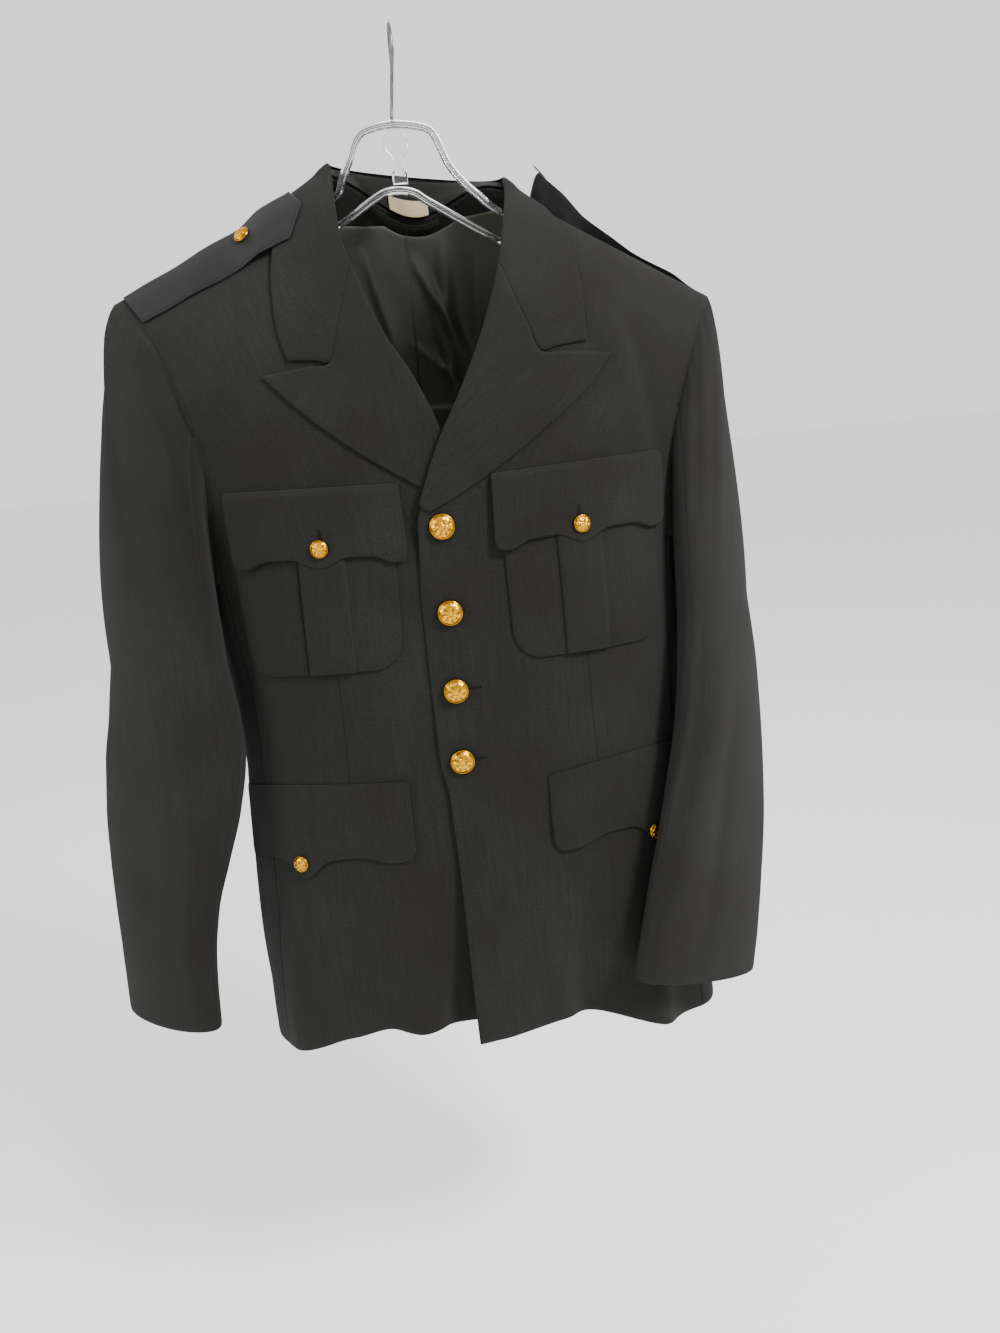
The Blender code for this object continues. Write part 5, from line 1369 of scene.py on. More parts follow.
    def build(self) -> None:
        """Make both lapels, the collar and its stand."""
        front = np.array([0.0, -1.0, 0.0])
        for side in (Side.RIGHT, Side.LEFT):
            grid = self.lapel_grid(side.sign)
            normals = self.tailor.normals(grid, front)
            piece = self.tailor.wall("Lapel_" + side.word, grid, normals, "Wool_Cloth", self.thickness,
                    28.0 * side.sign, "l")
            self.tailor.dress(piece, "wool", ["lapel_" + side.word])
            self.tailor.sheet(piece, grid, ["front_" + side.word], held="folded")
        grid = self.collar_grid()
        normals = self.tailor.normals(grid, -front)
        piece = self.tailor.wall("Collar_Fall", grid, normals, "Wool_Cloth", self.thickness, sewn="fl")
        self.tailor.dress(piece, "wool", ["collar_fall"])
        self.tailor.sheet(piece, grid, ["front_left", "front_right", "back_left", "back_right"],
                held="folded")
        angles = np.linspace(4.0, 176.0, 121)
        rows = [[self.stand_point(a, s) for a in angles] for s in np.linspace(0.0, self.stand_top, 13)]
        grid = np.array(rows)
        piece = self.tailor.wall("Collar_Stand", grid, self.tailor.normals(grid, -front), "Wool_Cloth")
        self.tailor.dress(piece, "wool", ["collar_stand"])
        self.tailor.sheet(piece, grid, ["back_left", "back_right"])


@dataclass
class Pockets:
    """Breast pockets with a box pleat, their flaps, and the lower flaps."""

    form: BodyForm
    tailor: Tailor
    corner: float = 0.026
    pleat_half: float = 0.02
    pleat_lift: float = 0.002
    flap_lift: float = 0.0041
    edge_stitch: float = 0.0016
    stitch_pitch: float = 0.0024
    pockets: dict = field(default_factory=lambda: {
        1: {"inner": 0.045, "outer": 0.186, "top": -0.39, "bottom": -0.546, "pleat": 0.111, "skew": 0.002},
        -1: {"inner": 0.045, "outer": 0.185, "top": -0.39, "bottom": -0.541, "pleat": 0.1075, "skew": 0.005}})
    breast: dict = field(default_factory=lambda: {
        1: {"inner": 0.04, "outer": 0.195, "top_in": -0.383, "top_out": -0.377},
        -1: {"inner": 0.038, "outer": 0.186, "top_in": -0.383, "top_out": -0.378}})
    # columns: share of the width, drop below the top edge
    breast_edge: Array = field(default_factory=lambda: np.array([
        [0.0, 0.058], [0.03, 0.0655], [0.08, 0.0665], [0.2, 0.06], [0.34, 0.0595], [0.5, 0.0685],
        [0.66, 0.0595], [0.8, 0.06], [0.92, 0.0665], [0.97, 0.0655], [1.0, 0.058]]))
    lower: dict = field(default_factory=lambda: {
        1: {"inner": 13.0, "outer": 77.0, "top_in": -0.657, "top_mid": -0.649, "top_out": -0.662},
        -1: {"inner": 11.6, "outer": 77.0, "top_in": -0.646, "top_mid": -0.644, "top_out": -0.652}})
    lower_edge: Array = field(default_factory=lambda: np.array([
        [0.0, 0.065], [0.025, 0.0745], [0.08, 0.076], [0.22, 0.07], [0.36, 0.073], [0.5, 0.09],
        [0.64, 0.073], [0.78, 0.07], [0.92, 0.076], [0.975, 0.0745], [1.0, 0.065]]))

    def pocket_point(self, side: int, x: Array, height: Array, lift: Array) -> Array:
        """Point on a breast pocket, moved out from its plain face."""
        form = self.form
        return form.place_front(side, x, height, form.lay_gap + form.cloth + 0.0002 + lift)

    def pocket_grid(self, side: int) -> Array:
        """Outer points of a breast pocket with its box pleat."""
        data = self.pockets[side]
        middle, foot = data["pleat"], data["bottom"]
        straight = foot + self.corner
        turns = np.linspace(0.0, 90.0, 15)[1:]
        heights = np.concatenate([np.linspace(data["top"], straight, 64),
                straight - self.corner * np.sin(np.radians(turns))])
        half = self.pleat_half
        rows = []
        for height in heights:
            drop = max((straight - height) / self.corner, 0.0)
            round_in = self.corner * (1.0 - math.sqrt(max(1.0 - drop * drop, 0.0)))
            near, far = data["inner"] + round_in, data["outer"] - round_in
            step = np.array([0.00012, 0.00045, 0.0009])
            left = np.linspace(near, middle - half, 22)
            right = np.linspace(middle + half, far, 22)
            inside = np.linspace(middle - half + 0.003, middle + half - 0.003, 14)
            x = np.concatenate([left, middle - half + step, inside, middle + half - step[::-1], right])
            rise = self.pleat_lift * np.array([0.15, 0.75, 1.0])
            groove = self.pleat_lift * np.array([-0.45, 0.55, 1.0])
            rise, fall = (groove, rise) if side > 0 else (rise, groove)
            crown = 0.0005 * np.cos((inside - middle) / half * math.pi / 2.0)
            lift = np.concatenate([0.0 * left, rise, self.pleat_lift + crown, fall[::-1], 0.0 * right])
            share = (data["top"] - height) / (data["top"] - foot)
            puff = 0.001 * math.sin(math.pi * share) ** 0.8
            span = np.clip((x - near) / (far - near), 0.0, 1.0)
            lift = lift + puff * np.sin(math.pi * span) ** 0.6
            lean = data["skew"] * share
            rows.append(self.pocket_point(side, x + lean, height + 0.0 * x, lift))
        return np.array(rows[::-1])

    def flap_shares(self, steps: int = 66) -> Array:
        """Columns of a flap, close together at its corners."""
        ends = np.linspace(0.0, 0.08, 11)
        return np.concatenate([ends, np.linspace(0.08, 0.92, steps)[1:-1], 1.0 - ends[::-1]])

    def breast_point(self, side: int, shares: Array, step: Array) -> Array:
        """Point on a breast flap: a share of its width and a step down to its edge."""
        data, form = self.breast[side], self.form
        drops = Curve.column(self.breast_edge, 1).at(shares)
        x = data["inner"] + (data["outer"] - data["inner"]) * shares
        top = data["top_in"] + (data["top_out"] - data["top_in"]) * shares
        lift = self.flap_lift * smooth(step / 0.1) + 0.001 * smooth((step - 0.5) / 0.5)
        curl = 0.001 * (1.0 - smooth(shares / 0.1)) * step if side < 0 else 0.0
        wave = 0.0004 * np.sin(shares * 11.0 + side) * smooth((step - 0.3) / 0.7)
        return form.place_front(side, x - 0.002 * step, top - drops * step, form.lay_gap + form.cloth + lift
                + curl + wave)

    def lower_point(self, side: int, shares: Array, step: Array) -> Array:
        """Point on a lower flap: a share of its width and a step down to its edge."""
        data, form = self.lower[side], self.form
        drops = Curve.column(self.lower_edge, 1).at(shares)
        angle = data["inner"] + (data["outer"] - data["inner"]) * shares
        ends = data["top_in"] + (data["top_out"] - data["top_in"]) * shares
        bow = data["top_mid"] - (data["top_in"] + data["top_out"]) / 2.0
        height = ends + bow * np.sin(math.pi * shares) - drops * step
        wave = 0.0005 * np.sin(shares * 9.0 + 2.0 * side) * smooth((step - 0.2) / 0.8)
        return form.on_body(side, angle, height, form.lay_gap + form.cloth + 0.0015 * smooth(step) + wave)

    def flap_grid(self, side: int, point: object) -> Array:
        """Outer points of a flap, from its lower edge up."""
        shares = self.flap_shares()
        steps = np.concatenate([np.linspace(0.0, 0.1, 7), np.linspace(0.1, 1.0, 34)[1:]])
        return np.array([point(side, shares, step) for step in steps][::-1])

    def edge_path(self, side: int, point: object, lift: float = 0.0001) -> Array:
        """Line just inside a flap's ends and lower edge."""
        shares = np.linspace(0.012, 0.988, 90)
        low = point(side, shares, np.full(90, 0.972))
        up = np.linspace(0.06, 0.95, 24)
        first = point(side, np.full(24, 0.012), up)
        last = point(side, np.full(24, 0.988), up[::-1])
        line = np.concatenate([first, low, last])
        x = np.abs(line[:, 0])
        return line + self.form.front_normal(side, x, line[:, 2]) * lift

    def pocket_path(self, side: int) -> Array:
        """Stitch line round a breast pocket, just inside its edge."""
        data = self.pockets[side]
        inset, corner = self.edge_stitch, self.corner - self.edge_stitch
        straight = data["bottom"] + self.corner
        turns = np.radians(np.linspace(0.0, 90.0, 14))
        x = [data["inner"] + inset + corner * (1.0 - math.cos(t)) for t in turns]
        z = [straight - corner * math.sin(t) for t in turns]
        x2 = [data["outer"] - inset - corner * (1.0 - math.cos(t)) for t in turns[::-1]]
        xs = np.array([x[0]] * 16 + x + list(np.linspace(x[-1], x2[0], 30)[1:-1]) + x2 + [x2[-1]] * 16)
        zs = np.array(list(np.linspace(-0.44, straight, 17)[:-1]) + z + [z[-1]] * 28 + z[::-1]
                + list(np.linspace(straight, -0.44, 17)[1:]))
        share = (data["top"] - zs) / (data["top"] - data["bottom"])
        on_pleat = np.abs(xs - data["pleat"]) < self.pleat_half - 0.0004
        return self.pocket_point(side, xs + data["skew"] * share, zs, 0.00015 + on_pleat * self.pleat_lift)

    def build(self) -> None:
        """Make the pockets and flaps of both sides, with their stitch lines."""
        front = np.array([0.0, -1.0, 0.0])
        for side in (Side.RIGHT, Side.LEFT):
            sign, word = side.sign, side.word
            for name, grid, node, path in (
                    ("Breast_Pocket_", self.pocket_grid(sign), "breast_pocket_", self.pocket_path(sign)),
                    ("Breast_Flap_", self.flap_grid(sign, self.breast_point), "breast_flap_",
                    self.edge_path(sign, self.breast_point)),
                    ("Lower_Flap_", self.flap_grid(sign, self.lower_point), "lower_flap_",
                    self.edge_path(sign, self.lower_point))):
                normals = self.tailor.normals(grid, front)
                piece = self.tailor.wall(name + word, grid, normals, "Wool_Cloth")
                self.tailor.dress(piece, "wool", [node + word])
                sewn = self.tailor.stitches(name + word + "_Stitches", [path], "Dark_Thread",
                        self.stitch_pitch)
                self.tailor.dress(sewn, "wool", [])
                self.tailor.sheet(piece, grid, ["front_" + word], [sewn])


@dataclass
class ShoulderLoops:
    """Shoulder loops, the wearer's left one standing up at its neck end."""

    form: BodyForm
    tailor: Tailor
    sleeve_x: float = 0.259
    neck_x: dict = field(default_factory=lambda: {-1: 0.09, 1: 0.093})
    point: float = 0.012
    drop_sleeve: float = 0.036
    drop_neck: float = 0.044
    lift: float = 0.0008
    collar_lift: float = 0.005
    raised_end: float = 0.032
    band_lift: float = 0.0045
    stitch_pitch: float = 0.0026
    slant: float = 0.02
    flick: float = 0.022

    def spot(self, side: int, share: float, cross: Array) -> Array:
        """Points across the loop at a share of its length."""
        form = self.form
        start = self.sleeve_x - self.slant * cross * (1.0 - share)
        x = start + (self.neck_x[side] - start) * share
        drop = self.drop_sleeve + (self.drop_neck - self.drop_sleeve) * share
        spots = x + self.point * smooth((share - 0.86) / 0.14) * np.abs(cross - 0.45) * 2.0
        collar = self.collar_lift * smooth((share - 0.62) / 0.16)
        if side < 0:
            height = form.ridge(side, spots) - drop * cross
            return form.on_front(side, spots, height, form.cloth + self.lift + collar)
        spots = spots + self.flick * cross * smooth((share - 0.5) / 0.5)
        collar = collar + self.raised_end * np.clip((share - 0.35) / 0.65, 0.0, 1.0) ** 1.3
        collar = collar + self.band_lift * smooth(share / 0.15)
        height = form.ridge(side, spots) - drop * cross * 0.8
        return form.on_back(side, spots, height, form.cloth + self.lift + collar)

    def grid(self, side: int) -> Array:
        """Outer points of a loop, from the sleeve to the neck."""
        cross = 0.02 + 0.98 * np.linspace(0.0, 1.0, 25)
        grid = np.array([self.spot(side, share, cross) for share in np.linspace(0.0, 1.0, 91)])
        share = np.linspace(0.0, 1.0, 91)[:, None]
        ripple = 0.0007 * np.sin(share * 17.0 + cross * 2.0) * np.sin(math.pi * share) ** 0.8
        return grid + np.array([0.0, 0.0, 1.0]) * ripple[..., None]

    def build(self) -> None:
        """Make both loops and their stitches."""
        up = np.array([0.0, 0.0, 1.0])
        for side in (Side.RIGHT, Side.LEFT):
            grid = self.grid(side.sign)
            normals = self.tailor.normals(grid, up)
            piece = self.tailor.wall("Shoulder_Loop_" + side.word, grid, normals, "Loop_Cloth")
            self.tailor.dress(piece, "satin", ["shoulder_loop_" + side.word])
            lifted = grid + normals * 0.0001
            path = np.concatenate([lifted[2:-2, 2], lifted[-3, 3:-3], lifted[2:-2, -3][::-1]])
            sewn = self.tailor.stitches("Shoulder_Loop_%s_Stitches" % side.word, [path], "Dark_Thread",
                    self.stitch_pitch)
            self.tailor.dress(sewn, "satin", [])
            under = ["front_" + side.word] if side is Side.RIGHT else ["back_" + side.word]
            self.tailor.sheet(piece, grid, under, [sewn])


@dataclass
class NeckInside:
    """Back lining, blank label and hang loop inside the neck."""

    form: BodyForm
    tailor: Tailor
    turnback: Turnback
    half_width: float = 0.135
    foot_z: float = -0.44
    top_drop: float = 0.014
    space: float = 0.002
    pleat: float = 0.0022
    top_rise: float = 0.01
    crease_gain: float = 1.9
    thickness: float = 0.001
    label_ends: tuple = (-0.0175, 0.0215)
    label_shares: tuple = (-0.03, 0.4)
    label_gap: float = 0.0021
    label_thickness: float = 0.0008
    loop_ends: tuple = (-0.036, 0.03)
    label_pitch: float = 0.0018
    loop_drops: tuple = (0.009, 0.004)
    loop_gap: float = 0.0018
    loop_thickness: float = 0.0012
    # creases: x and height of the start and end, half width, depth toward the front
    creases: tuple = (
        (0.0, -0.175, 0.06, -0.29, 0.005, 0.0026), (0.012, -0.2, 0.04, -0.33, 0.0045, -0.002),
        (-0.045, -0.165, -0.02, -0.27, 0.006, 0.0022), (-0.01, -0.25, 0.05, -0.305, 0.004, 0.0016),
        (-0.03, -0.2, -0.012, -0.33, 0.005, -0.0016), (0.03, -0.16, 0.034, -0.32, 0.007, 0.002),
        (-0.02, -0.318, 0.06, -0.322, 0.0035, 0.001), (0.06, -0.17, 0.062, -0.3, 0.006, -0.0022))

    def lining_grid(self) -> Array:
        """Back points of the lining, with its centre pleat and its creases."""
        form = self.form
        columns = np.concatenate([np.linspace(-self.half_width, -0.0046, 58), [-0.0043, -0.004, -0.0036],
                np.linspace(-0.003, self.half_width, 62)])
        rows = []
        for share in np.linspace(0.0, 1.0, 110):
            row = np.empty((len(columns), 3))
            for side in (-1, 1):
                own = columns < 0.0 if side < 0 else columns >= 0.0
                reach = np.abs(columns[own])
                top = np.where(reach < form.neck_x[side], form.neckline(side, reach), form.ridge(side, reach))
                top = np.minimum(top, float(form.neckline(side, np.array([0.0]))[0]) + self.top_rise)
                height = self.foot_z + (top - self.top_drop - self.foot_z) * share
                step = self.pleat * (1.0 - smooth((columns[own] + 0.0045) / 0.0015))
                row[own] = form.on_back(side, reach, height, -(form.cloth + self.space + step))
            for x1, z1, x2, z2, spread, depth in self.creases:
                way = np.array([x2 - x1, z2 - z1])
                length = float(np.linalg.norm(way))
                spot = np.stack([row[:, 0] - x1, row[:, 2] - z1], axis=-1)
                t = np.clip(spot @ way / length ** 2, 0.0, 1.0)
                gap = np.linalg.norm(spot - t[:, None] * way, axis=-1)
                rise = self.crease_gain * depth * np.sin(math.pi * t) ** 0.8 * np.exp(-((gap / spread) ** 2))
                row[:, 1] -= np.maximum(rise + 0.0004, 0.0) if depth > 0.0 else np.maximum(-rise * 0.5, 0.0)
            rows.append(row)
        return np.array(rows)

    def hang_loop_grid(self) -> Array:
        """Front points of the hang loop below the neck seam."""
        form = self.form
        depth = form.cloth + self.loop_gap + self.loop_thickness
        x = np.linspace(self.loop_ends[0], self.loop_ends[1], 67)
        share = (x - x[0]) / (x[-1] - x[0])
        rows = []
        for drop in np.linspace(self.loop_drops[0], self.loop_drops[1], 9):
            row = np.empty((len(x), 3))
            for side in (-1, 1):
                own = x < 0.0 if side < 0 else x >= 0.0
                height = form.neckline(side, np.abs(x[own])) - drop
                sag = 0.0012 * np.sin(math.pi * share[own])
                row[own] = form.on_back(side, np.abs(x[own]), height, -(depth + sag))
            rows.append(row)
        return np.array(rows)

    def strip(self, ends: tuple, shares: tuple, gap: float, columns: int, rows: int) -> Array:
        """Front points of a flat piece on the inside of the stand."""
        form = self.form
        out = []
        for share in np.linspace(shares[0], shares[1], rows):
            line = []
            for x in np.linspace(ends[0], ends[1], columns):
                angle = math.degrees(math.acos((form.neck_middle_x - x) / form.neck_half_width))
                point = self.turnback.stand_point(angle, share)
                inward = unit(np.array([form.neck_middle_x - point[0], -point[1], 0.0]))
                line.append(point + inward * gap)
            out.append(line)
        return np.array(out)

    def build(self) -> None:
        """Make the lining, the label with its stitches, and the hang loop."""
        front = np.array([0.0, -1.0, 0.0])
        tailor = self.tailor
        grid = self.lining_grid()
        piece = tailor.wall("Back_Lining", grid, tailor.normals(grid, -front), "Lining_Cloth", self.thickness)
        tailor.dress(piece, "lining", ["back_lining"])
        gap = self.form.cloth + self.label_gap
        strip = self.hang_loop_grid()
        loop = tailor.wall("Neck_Hang_Loop", strip, tailor.normals(strip, front), "Wool_Cloth",
                self.loop_thickness)
        tailor.dress(loop, "wool", ["neck_hang_loop"])
        tailor.sheet(piece, grid, ["back_left", "back_right"], [loop])
        grid = self.strip(self.label_ends, self.label_shares, gap + self.label_thickness, 41, 19)
        normals = tailor.normals(grid, front)
        piece = tailor.wall("Blank_Label", grid, normals, "Label_Cloth", self.label_thickness)
        tailor.dress(piece, "label", ["blank_label"])
        lifted = grid + normals * 0.0001
        border = np.concatenate([lifted[2, 2:-2], lifted[2:-2, -3], lifted[-3, 2:-2][::-1], lifted[2:-2,
                2][::-1]])
        sewn = tailor.stitches("Label_Stitches", [border], "Label_Thread", self.label_pitch)
        tailor.dress(sewn, "label", [])
        tailor.sheet(piece, grid, ["collar_stand"], [sewn])


@dataclass
class Buttons:
    """Gilt buttons with a rope rim and a plain leaf rosette, and the buttonholes beside them."""

    form: BodyForm
    tailor: Tailor
    pockets: Pockets
    loops: ShoulderLoops
    large: float = 0.0229
    small: float = 0.0159
    dome: float = 0.3
    gap: float = 0.0008
    lower_lift: float = 0.0012
    front_row: tuple = ((-0.005, -0.423), (-0.006, -0.497), (-0.008, -0.567), (-0.009, -0.633))
    breast: dict = field(default_factory=lambda: {-1: (0.1085, -0.4315), 1: (0.114, -0.433)})
    lower: dict = field(default_factory=lambda: {-1: (0.164, -0.719), 1: (0.1655, -0.731)})
    rings: int = 46
    steps: int = 96
    petals: int = 8
    relief: float = 0.0006
    hole_reach: tuple = (0.0118, 0.013, 0.0225, 0.0225)
    loop_cross: tuple = (0.33, 0.35, 0.37)
    loop_shares: tuple = (0.65, 0.67, 0.69)

    def button(self, node: str, diameter: float, place: Array, normal: Array, turn: float) -> None:
        """Make one button.

        Args:
            node: the solid that it stands for.
            diameter: width of the button.
            place: middle of its back.
            normal: direction in which it faces.
            turn: angle that its relief is turned by.
        """
        radius, rise = diameter / 2.0, diameter * self.dome
        profile = Curve((0.0, 0.3, 0.55, 0.76, 0.86, 0.94, 1.0), (1.0, 0.965, 0.86, 0.71, 0.61, 0.52, 0.34))
        radii = np.concatenate([np.linspace(0.0, 0.78, self.rings - 13)[1:], np.linspace(0.79, 1.0, 13)])
        turns = 2.0 * math.pi * np.arange(self.steps) / self.steps
        r = radii[:, None] + 0.0 * turns[None, :]
        t = turns[None, :] + math.radians(turn)
        leaf = np.cos(t * self.petals / 2.0) ** 2
        vein = np.exp(-((np.sin(t * self.petals / 2.0 + math.pi / 2.0) / 0.16) ** 2))
        rosette = (0.2 + 0.8 * leaf ** 0.7 - 0.35 * vein) * smooth((r - 0.2) / 0.06) * smooth((0.86
                - r) / 0.22)
        inner = np.cos(t * self.petals / 2.0 + math.pi / 2.0) ** 2 * smooth((r - 0.34) / 0.1)
        inner = inner * smooth((0.6 - r) / 0.1) * 0.6
        boss = smooth((0.17 - r) / 0.05)
        rope = (0.5 + 0.5 * np.cos(40.0 * t + r * 30.0)) * np.exp(-(((r - 0.93) / 0.035) ** 2))
        wide, high = r * np.cos(t), r * np.sin(t)
        grain = np.sin(7.3 * wide + 1.6 * np.sin(5.1 * high)) * np.sin(8.9 * high + 1.9 * np.sin(6.3
                * wide) + 0.7)
        grain = smooth((grain + 0.25) / 0.5) * smooth((0.9 - r) / 0.1)
        height = np.maximum(np.maximum(rosette, inner), boss) * 0.55 + 0.45 * grain
        field_ = np.maximum(height, rope)
        z = rise * profile.at(r) + self.relief * (height + 0.6 * rope - 0.4)
        x, y = r * radius * np.cos(turns), r * radius * np.sin(turns)
        front = np.stack([x, y, z], axis=-1).reshape(-1, 3)
        back_rings = ((0.985, 0.22), (0.9, 0.14), (0.6, 0.11), (0.3, 0.1), (0.28, 0.0))
        back = np.concatenate([np.stack([s * radius * np.cos(turns), s * radius * np.sin(turns),
                rise * h + 0.0 * turns], axis=-1) for s, h in back_rings])
        points = np.concatenate([[[0.0, 0.0, rise + self.relief * 0.6]], front, back, [[0.0, 0.0, 0.0]]])
        shade = np.concatenate([[1.0], field_.ravel(), np.full(len(back), 0.5), [0.5]])
        count = len(radii) + len(back_rings)
        faces = []
        k = np.arange(self.steps)
        after = (k + 1) % self.steps
        faces += np.stack([0 * k, 1 + k, 1 + after], axis=1).tolist()
        for ring in range(count - 1):
            a, b = 1 + ring * self.steps, 1 + (ring + 1) * self.steps
            faces += np.stack([a + k, b + k, b + after, a + after], axis=1).tolist()
        a = 1 + (count - 1) * self.steps
        faces += np.stack([a + k, 0 * k + len(points) - 1, a + after], axis=1).tolist()
        normal = unit(np.asarray(normal, dtype=float))
        across = unit(np.cross([0.0, 0.0, 1.0], normal))
        up = np.cross(normal, across)
        placed = place + points[:, :1] * across + points[:, 1:2] * up + points[:, 2:] * normal
        piece = self.tailor.mesh("Gilt_" + node, placed, faces, "Gilt_Metal")
        attribute = piece.data.attributes.new("relief", "FLOAT", "POINT")
        attribute.data.foreach_set("value", shade.astype(np.float32))
        self.tailor.dress(piece, "gold", [node])

    def buttonhole(self, name: str, line: Array, normal: Array) -> None:
        """Make one worked buttonhole: a slit with thread laid across both of its lips.

        Args:
            name: name of the piece.
            line: points along the slit, on the cloth.
            normal: outward direction of the cloth.
        """
        normal = unit(normal)
        way = unit(line[-1] - line[0])
        across = np.cross(way, normal)
        paths = [line + across * s * 0.0007 + normal * 0.00012 for s in (-1.0, 1.0)]
        lips = self.tailor.stitches(name, paths, "Buttonhole_Thread", 0.00055, 1.5, 0.00034)
        self.tailor.dress(lips, "wool", [])

    def build(self) -> None:
        """Make every button and buttonhole."""
        form = self.form
        base = form.lay_gap + form.cloth
        for side in (Side.RIGHT, Side.LEFT):
            sign, word = side.sign, side.word
            x, height = self.breast[sign]
            normal = form.front_normal(sign, x, height)
            spot = form.on_front(sign, x, height, base + self.pockets.flap_lift + self.gap)
            self.button("breast_button_" + word, self.small, spot, normal, 10.0 * sign)
            heights = np.linspace(height + 0.002, height + 0.0165, 12)
            data = self.pockets.breast[sign]
            share = (x - data["inner"]) / (data["outer"] - data["inner"])
            top = data["top_in"] + (data["top_out"] - data["top_in"]) * share
            drop = float(Curve.column(self.pockets.breast_edge, 1).at(share))
            line = np.array([self.pockets.breast_point(sign, np.array(share),
                    (top - h) / drop) for h in heights])
            self.buttonhole("Breast_Buttonhole_" + word, line, normal)
            x, height = self.lower[sign]
            normal = form.front_normal(sign, x, height)
            spot = form.on_front(sign, x, height, base + self.gap + self.lower_lift)
            self.button("lower_button_" + word, self.small, spot, normal, 24.0 * sign)
            grid = np.array([self.loops.spot(sign, s, np.array(self.loop_cross)) for s in self.loop_shares])
            normal = np.cross(grid[1, 2] - grid[1, 0], grid[2, 1] - grid[0, 1])
            normal = unit(normal if normal[2] > 0.0 else -normal)
            self.button("loop_button_" + word, self.small, grid[1, 1] + normal * self.gap, normal, 5.0)
        for number, (x, height) in enumerate(self.front_row):
            normal = form.front_normal(1, x, height)
            spot = form.on_front(1, x, height, self.gap)
            self.button("front_button_%d" % (number + 1), self.large, spot, normal, 17.0 * number)
            xs = np.linspace(x - 0.002, x + self.hole_reach[number], 14)
            line = form.on_front(1, xs, height + 0.0005 + 0.0 * xs)
            self.buttonhole("Front_Buttonhole_%d" % (number + 1), line, normal)


@dataclass
class DartShadeLines:
    """Dart lines from the breast pockets down to the lower flaps: near-black thread bars that paint the shade
    of each dart's seam crease.
    """

    form: BodyForm
    tailor: Tailor
    # distance out and height of the top and the foot, per side
    lines: dict = field(default_factory=lambda: {
        -1: ((0.1085, -0.5425), (0.1115, -0.644)), 1: ((0.113, -0.5475), (0.1155, -0.65))})

    def build(self) -> None:
        """Lay a fine near-black line down each front, as painted shade of the closed dart seam."""
        for side in (Side.RIGHT, Side.LEFT):
            (x1, z1), (x2, z2) = self.lines[side.sign]
            t = np.linspace(0.0, 1.0, 60)
            line = self.form.place_front(side.sign, x1 + (x2 - x1) * t, z1 + (z2 - z1) * t, 0.00005)
            # the near-black thread bars here are painted shade: they draw the dark crease line of the dart
            # seam
            sewn = self.tailor.stitches("Dart_Painted_Shade_" + side.word, [line], "Buttonhole_Thread", 0.0016, 1.35,
                    0.00022)
            self.tailor.dress(sewn, "wool", [])


